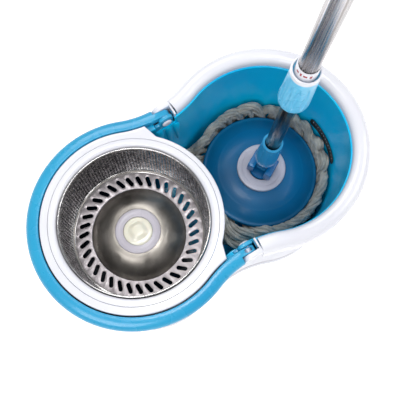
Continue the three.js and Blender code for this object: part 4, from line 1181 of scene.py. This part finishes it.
for k in range(SOCKET_RIBS):
    turn = 2 * pi * (k + 0.5) / SOCKET_RIBS
    rib = box_block(f"socket_rib_{k}", (12.2, -0.9, RIB_LOW), (15.6, 0.9, RIB_HIGH))
    for vertex in rib.data.vertices:
        if vertex.co.x > 14 * MM:
            vertex.co.x += (1.0 - (vertex.co.z / MM - RIB_LOW) * RIB_TAPER) * MM
    rib.data.transform(Matrix.Rotation(turn, 4, "Z"))
    cut(socket, rib, "UNION")
faced_out(socket)
socket_blue = moulded_plastic("socket_blue_polypropylene", ink(58, 166, 218), ink(44, 150, 206), 0.24,
                              0.4, 22)
dressed(laid_on_mop(socket), socket_blue, "pole_foot", "sky_blue_plastic", "pole_yoke")


# ==== Pole tubes ====
# Two thin-walled stainless tubes, the lower sliding up inside the upper, with fine drawing lines along
# them. The spiral rod and its nut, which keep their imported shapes, turn the push of the pole into spin.
def pole_tube(name, outer, foot, head):
    """A tube with a 0.8 mm wall and its ends' outer edges taken off."""
    inner = outer - 0.8
    section = [(inner, foot), (outer - 0.2, foot), (outer, foot + 0.3), (outer, head - 0.3),
               (outer - 0.2, head), (inner, head)]
    return laid_on_mop(turned_ring(name, section, steps=96))


drawn_steel = steel_sheet("drawn_steel", ink(232, 229, 232), ink(156, 149, 146), 0.27, 260, 0.25,
                          (1, 1, 0.012), 0.06, mop_upright)
dark_steel = steel_sheet("lower_drawn_steel", ink(186, 177, 170), ink(96, 90, 88), 0.2, 240, 0.25,
                         (1, 1, 0.012), 0.06, mop_upright)
lower_tube = pole_tube("lower_tube", 10, 76, 422)
dressed(lower_tube, dark_steel, "pole_foot", "stainless", "lower_pole", smooth=40)
upper_tube = pole_tube("upper_tube", 11.1, 292, 992)
dressed(upper_tube, drawn_steel, "pole_top", "stainless", "upper_pole", smooth=40)
part_finish(nylon, "spiral_nut", "rod_plug")
part_finish(bright_steel, "spiral_rod")


# ==== Locking sleeve ====
# The sky-blue twist sleeve that locks the tubes, moulded with eleven long pointed flutes for grip.
# A white ring is pressed on its top, and a white collar with plain red marks stands up out of the ring.
SLEEVE_FOOT, SLEEVE_TOP = 266, 339
FLUTES, FLUTE_LOW, FLUTE_LONG, FLUTE_HALF, FLUTE_DEEP = 11, 9, 56, 3.5, 1.25
SIDE_STEPS = 40
sleeve_side = []
for k in range(SIDE_STEPS + 1):
    share = k / SIDE_STEPS
    sleeve_side.append((18.5 - 1.9 * max(0, share - 0.09) / 0.91, SLEEVE_FOOT + 6.5 + 66 * share))
sleeve_section = [
    (11.7, SLEEVE_FOOT + 24), (10.8, SLEEVE_FOOT + 22), (10.8, SLEEVE_FOOT + 1.2), (11.8, SLEEVE_FOOT),
    (13.6, SLEEVE_FOOT), (15.4, SLEEVE_FOOT + 0.4), (16.9, SLEEVE_FOOT + 1.5), (17.9, SLEEVE_FOOT + 3.2),
    *sleeve_side, (16.5, SLEEVE_TOP), (11.7, SLEEVE_TOP),
]
sleeve = turned_ring("twist_sleeve", sleeve_section, steps=220)
for vertex in sleeve.data.vertices:
    x, y, z = vertex.co / MM
    reach, turn = hypot(x, y), atan2(y, x)
    share = (z - SLEEVE_FOOT - FLUTE_LOW) / FLUTE_LONG
    if reach > 15 and 0 < share < 1:
        middle = round(turn * FLUTES / (2 * pi)) * 2 * pi / FLUTES
        half_width = FLUTE_HALF * sin(pi * share**0.8)
        off = abs(turn - middle) * reach / max(half_width, 0.01)
        if off < 1:
            pressed = reach - FLUTE_DEEP * (1 - off**2) * min(1, half_width / 1.6)
            vertex.co.x *= pressed / reach
            vertex.co.y *= pressed / reach
sleeve_blue = moulded_plastic("sleeve_blue_polypropylene", ink(112, 206, 244), ink(96, 194, 238), 0.28,
                              0.3, 26)
dressed(laid_on_mop(sleeve), sleeve_blue, "lock", "sky_blue_plastic", "lock_sleeve", smooth=50)

top_ring_section = [
    (14.6, SLEEVE_TOP + 0.3), (16.1, SLEEVE_TOP + 0.3), (16.8, SLEEVE_TOP + 0.9), (16.9, SLEEVE_TOP + 6.6),
    (16.6, SLEEVE_TOP + 7.5), (16.0, SLEEVE_TOP + 7.8), (15.2, SLEEVE_TOP + 7.8), (14.7, SLEEVE_TOP + 7.3),
]
top_ring = turned_ring("sleeve_top_ring", top_ring_section, steps=120)
dressed(laid_on_mop(top_ring), white_gloss, "lock", "white_plastic", "lock_ring")

COLLAR = 12.5
collar_section = [
    (11.4, SLEEVE_TOP + 0.6), (COLLAR, SLEEVE_TOP + 0.6), (COLLAR, SLEEVE_TOP + 19.8),
    (12.2, SLEEVE_TOP + 20.5), (11.4, SLEEVE_TOP + 20.6),
]
collar = turned_ring("pole_collar", collar_section, steps=120)
dressed(laid_on_mop(collar), white_gloss, "pole_top", "white_plastic", "lock_collar")
MARK_REACH, MARK_MIDDLE, MARK_HALF = COLLAR + 0.02, SLEEVE_TOP + 14.6, 1.8
marks = []
for turn, sweep, rise in (
    (-214, 17, 1.0), (-191, 9, 1.5), (-168, 20, 0.9), (-140, 12, 1.4), (-40, 17, 1.0), (-14, 9, 1.5),
):
    let_go()
    bpy.ops.mesh.primitive_grid_add(x_subdivisions=8, y_subdivisions=3, size=2)
    mark = bpy.context.object
    for vertex in mark.data.vertices:
        a = radians(turn - vertex.co.x * sweep / 2)
        height = MARK_MIDDLE + vertex.co.y * rise * MARK_HALF
        vertex.co = Vector((MARK_REACH * cos(a), MARK_REACH * sin(a), height)) * MM
    settled(mark, "SOLIDIFY", thickness=0.12 * MM, offset=1)
    faced_out(mark)
    marks.append(mark)
mark_set = joined(marks)
mark_set.name = "collar_marks"
red_print = moulded_plastic("red_print", ink(172, 30, 48), ink(150, 24, 40), 0.4, 0.1, 60)
dressed(laid_on_mop(mark_set), red_print, "pole_top", "white_plastic")


# ==== Grip and end cap ====
# A soft sky-blue grip is pushed on the pole's upper end, ribbed for the hand. Over it sits a cap of the same
# colour with a hole to hang the mop by.
GRIP_FOOT, GRIP_TOP = 842, 992
GRIP_STEPS, GRIP_WAIST, GRIP_RIB = 60, 1.1, 0.35
grip_side = []
for k in range(GRIP_STEPS + 1):
    share = k / GRIP_STEPS
    rib = GRIP_RIB * (0.5 - 0.5 * cos(2 * pi * k / 3)) if 9 < k < 52 else 0.0
    grip_side.append((14.8 - GRIP_WAIST * sin(pi * share) + rib, GRIP_FOOT + 2.4 + 145.6 * share))
grip_section = [
    (11.4, GRIP_FOOT), (13.2, GRIP_FOOT), (14.4, GRIP_FOOT + 0.8), *grip_side,
    (14.6, GRIP_TOP - 0.8), (14.0, GRIP_TOP), (11.4, GRIP_TOP),
]
grip = turned_ring("hand_grip_sleeve", grip_section, steps=96)
dressed(laid_on_mop(grip), sky_blue, "pole_top", "sky_blue_plastic", "hand_grip", smooth=40)
cap_foot = GRIP_TOP + 0.3
end_section = [
    (0, cap_foot), (13.9, cap_foot), (14.8, cap_foot + 1), (14.9, cap_foot + 14), (14.5, cap_foot + 19),
    (13.2, cap_foot + 24.5), (11, cap_foot + 29.4), (8, cap_foot + 32.4), (4, cap_foot + 33.8),
    (0, cap_foot + 34),
]
pole_cap = turned_ring("hanging_cap", end_section, steps=96, closed=False)
HANG_HOLE = 3.6
hole_section = [(0, -20), (HANG_HOLE, -20), (HANG_HOLE, 20), (0, 20)]
cut(pole_cap, cross_turned("hanging_hole", hole_section, 0, cap_foot + 21))
faced_out(pole_cap)
dressed(laid_on_mop(pole_cap), sky_blue, "pole_top", "sky_blue_plastic", "end_cap", smooth=40)


# ==== Mop strands ====
# Forty-eight wet locks of microfibre held in a ring under the plate, each of five yarns twisted together.
# A lock passes under the plate, bulges up past its edge and hangs beside it, ending above the tub's floor.
# The wall, the waist and the basket's deck press the locks in.
chance = random.Random(11)
part_finish(white_gloss, "strand_ring")
LOCKS, YARNS, SIDES = 48, 5, 7
MOP_X = joints["plate_spin"]["pos_m"][0] / MM
BASKET_GAP = MOP_X - BASKET_X
mop_turn = atan2(tilt_way.y, tilt_way.x)
# How far a lock may reach: to the lobe's wall, to the waist's wall beside it and to the deck's front edge.
LOBE_REACH, LOBE_SHIFT = 98.6, 5.3
BESIDE_Y = 80
DECK_REACH, DECK_UNDER = 123.3, -28
# The locks spread into the waist's corners and stand higher at the mop's far side, each over some degrees.
CORNER_WAY, CORNER_WIDE = radians(142), radians(15)
FAR_WAY, FAR_WIDE, FAR_LIFT = radians(30), radians(75), 9


def eased(value):
    """A value kept between nothing and one."""
    return min(max(value, 0), 1)


def strand_path(turn, reach, crest, swing, foot, start, spread):
    """The middle of one lock, from under the plate, up beside its edge, round along it and down to its foot.
    A station holds its reach, its height and its share of the swing round the plate."""
    stations = [(start, -15.0, 0), (72, -18.5, 0.02), (80, -23, 0.05), (85.5, -27, 0.1), (90.5, -20, 0.16),
                (92.8, crest - 5, 0.28), (93.8, crest, 0.42), (reach - 0.6, crest - 3, 0.56),
                (reach, crest - 14, 0.7), (reach - 0.5, -38, 0.78), (reach - 2, -54, 0.86),
                (reach - 4, -72, 0.94), (reach - 7, foot, 1.0)]
    wave = chance.uniform(0, 6.28)
    places = []
    for here, there in zip(stations, stations[1:]):
        for step in range(3):
            share = step / 3
            r, z, s = [old * (1 - share) + new * share for old, new in zip(here, there)]
            a = turn + swing * s + 0.015 * sin(wave + 9 * s)
            way = a + mop_turn
            round_way = atan2(sin(way), cos(way))
            outside = eased((r - 88) / 5)
            off_corner = (abs(round_way) - CORNER_WAY) / CORNER_WIDE
            r += spread * exp(-off_corner * off_corner) * outside
            if abs(off_corner) > 1.6:
                r = min(r, LOBE_REACH - LOBE_SHIFT * cos(way))
            else:
                r = min(r, BESIDE_Y / abs(sin(way)))
            off_far = (round_way - FAR_WAY) / FAR_WIDE
            z += FAR_LIFT * exp(-off_far * off_far) * outside * eased((z + 45) / 40)
            within = BASKET_GAP**2 * cos(way) ** 2 - BASKET_GAP**2 + DECK_REACH**2
            if cos(way) < 0 and within > 0:
                room = -BASKET_GAP * cos(way) - sqrt(within)
                low = eased((93 - room) / 5) * (1 if r > 78 else 0)
                z = z * (1 - low) + min(z, DECK_UNDER) * low
                r = min(r, room)
            places.append(Vector((r * cos(a), r * sin(a), z)))
    for _ in range(2):
        inner = [(places[k - 1] + places[k] * 2 + places[k + 1]) / 4 for k in range(1, len(places) - 1)]
        places = [places[0], *inner, places[-1]]
    return places


def frame_along(places, k):
    """Two directions across a path at one of its places, square to each other."""
    ahead = (places[min(k + 1, len(places) - 1)] - places[max(k - 1, 0)]).normalized()
    across = ahead.cross(Vector((0.31, 0.17, 0.93))).normalized()
    return across, ahead.cross(across)


def twisted(path, round_way, winding, fatness):
    """One yarn of a lock: it winds round the lock's middle, close in under the plate and at the foot."""
    places = []
    for k, place in enumerate(path):
        across, upward = frame_along(path, k)
        a = round_way + winding * k
        loose = fatness * min(max((k - 9) / 5, 0.3), 1) * min(1, 0.5 + (len(path) - 1 - k) / 12)
        places.append(place + (across * cos(a) + upward * sin(a)) * loose)
    return places


corners, faces, strand_uvs = [], [], []


def add_strand(places, thickness):
    """Adds a closed round tube along the places, a little lumpy and drawn in at both ends.
    A step of one in the pattern's own map is 20 mm along the yarn."""
    first, lump = len(corners), chance.uniform(0, 6.28)
    run = 0.0
    for k, place in enumerate(places):
        across, upward = frame_along(places, k)
        ends = min(1.0, 0.45 + 0.4 * min(k, len(places) - 1 - k))
        size = thickness * ends * (1 + 0.07 * sin(lump + 1.9 * k))
        for side in range(SIDES):
            a = 2 * pi * side / SIDES
            corners.append((place + (across * cos(a) + upward * sin(a)) * size) * MM)
        if k:
            ring = first + (k - 1) * SIDES
            before, run = run, run + (place - places[k - 1]).length
            u0, u1 = before / 20, run / 20
            for side in range(SIDES):
                beside = (side + 1) % SIDES
                faces.append((ring + side, ring + beside, ring + SIDES + beside, ring + SIDES + side))
                v0, v1 = side / SIDES, (side + 1) / SIDES
                strand_uvs.extend([(u0, v0), (u0, v1), (u1, v1), (u1, v0)])
    for ring, order in ((first, -1), (first + (len(places) - 1) * SIDES, 1)):
        faces.append(tuple(ring + side for side in range(SIDES))[::order])
        strand_uvs.extend([(0, 0)] * SIDES)


# Three layers of locks lie over one another: how far each reaches, how high it crests, how far it spreads.
LAYERS = ((96.6, -9.0, 24), (95.6, -1.0, 15), (95.0, 5.0, 7))
for lock in range(LOCKS):
    turn = 2 * pi * (lock + chance.uniform(-0.3, 0.3)) / LOCKS
    reach, crest, spread = LAYERS[lock % len(LAYERS)]
    path = strand_path(
        turn, reach + chance.uniform(-0.6, 0.6), crest + chance.uniform(-2.5, 2.5),
        chance.uniform(0.5, 1.0), chance.uniform(-95, -88), chance.uniform(67, 70), spread,
    )
    winding = chance.uniform(0.16, 0.34)
    for yarn in range(YARNS):
        path_round = twisted(path, 2 * pi * yarn / YARNS, winding, chance.uniform(3.0, 4.2))
        add_strand(path_round, chance.uniform(2.1, 2.8))
strand_mesh = bpy.data.meshes.new("wet_strands")
strand_mesh.from_pydata(corners, [], faces)
strand_layer = strand_mesh.uv_layers.new(name="along")
for loop, uv in zip(strand_layer.data, strand_uvs):
    loop.uv = uv
strands = bpy.data.objects.new("wet_strands", strand_mesh)
bpy.context.scene.collection.objects.link(strands)
edit_all(strands)
bpy.ops.mesh.normals_make_consistent(inside=False)
let_go()

wet_yarn, yarn_tree, yarn_surface, yarn_place = new_material("wet_microfibre")
yarn_along = yarn_tree.nodes.new("ShaderNodeMapping")
yarn_along.inputs["Scale"].default_value = (1.2, 5, 1)
yarn_tree.links.new(yarn_place.node.outputs["UV"], yarn_along.inputs["Vector"])
twist = yarn_tree.nodes.new("ShaderNodeTexWave")
twist.bands_direction = "DIAGONAL"
twist.inputs["Scale"].default_value = 2.6
twist.inputs["Distortion"].default_value = 2.2
twist.inputs["Detail"].default_value = 2
yarn_tree.links.new(yarn_along.outputs["Vector"], twist.inputs["Vector"])
clump = linked_range(yarn_tree, linked_noise(yarn_tree, yarn_place, 70, 3), 0.35, 0.65, 0, 1)
yarn_tone = linked_mix(yarn_tree, clump, ink(240, 234, 220), ink(186, 186, 178))
furrow = linked_range(yarn_tree, twist.outputs["Fac"], 0, 1, 0, 0.5)
furrowed_tone = linked_mix(yarn_tree, furrow, yarn_tone, ink(128, 128, 122))
yarn_tree.links.new(furrowed_tone, yarn_surface.inputs["Base Color"])
fibre = linked_range(yarn_tree, linked_noise(yarn_tree, yarn_place, 900, 2), 0.3, 0.7, 0.42, 0.7)
yarn_tree.links.new(fibre, yarn_surface.inputs["Roughness"])
linked_bump(yarn_tree, twist.outputs["Fac"], yarn_surface, 0.7, 0.0012)
yarn_surface.inputs["Sheen Weight"].default_value = 0.25
laid_on_mop(strands)
dressed(strands, wet_yarn, "mop_disc", "wet_yarn", "mop_strands", smooth=80)
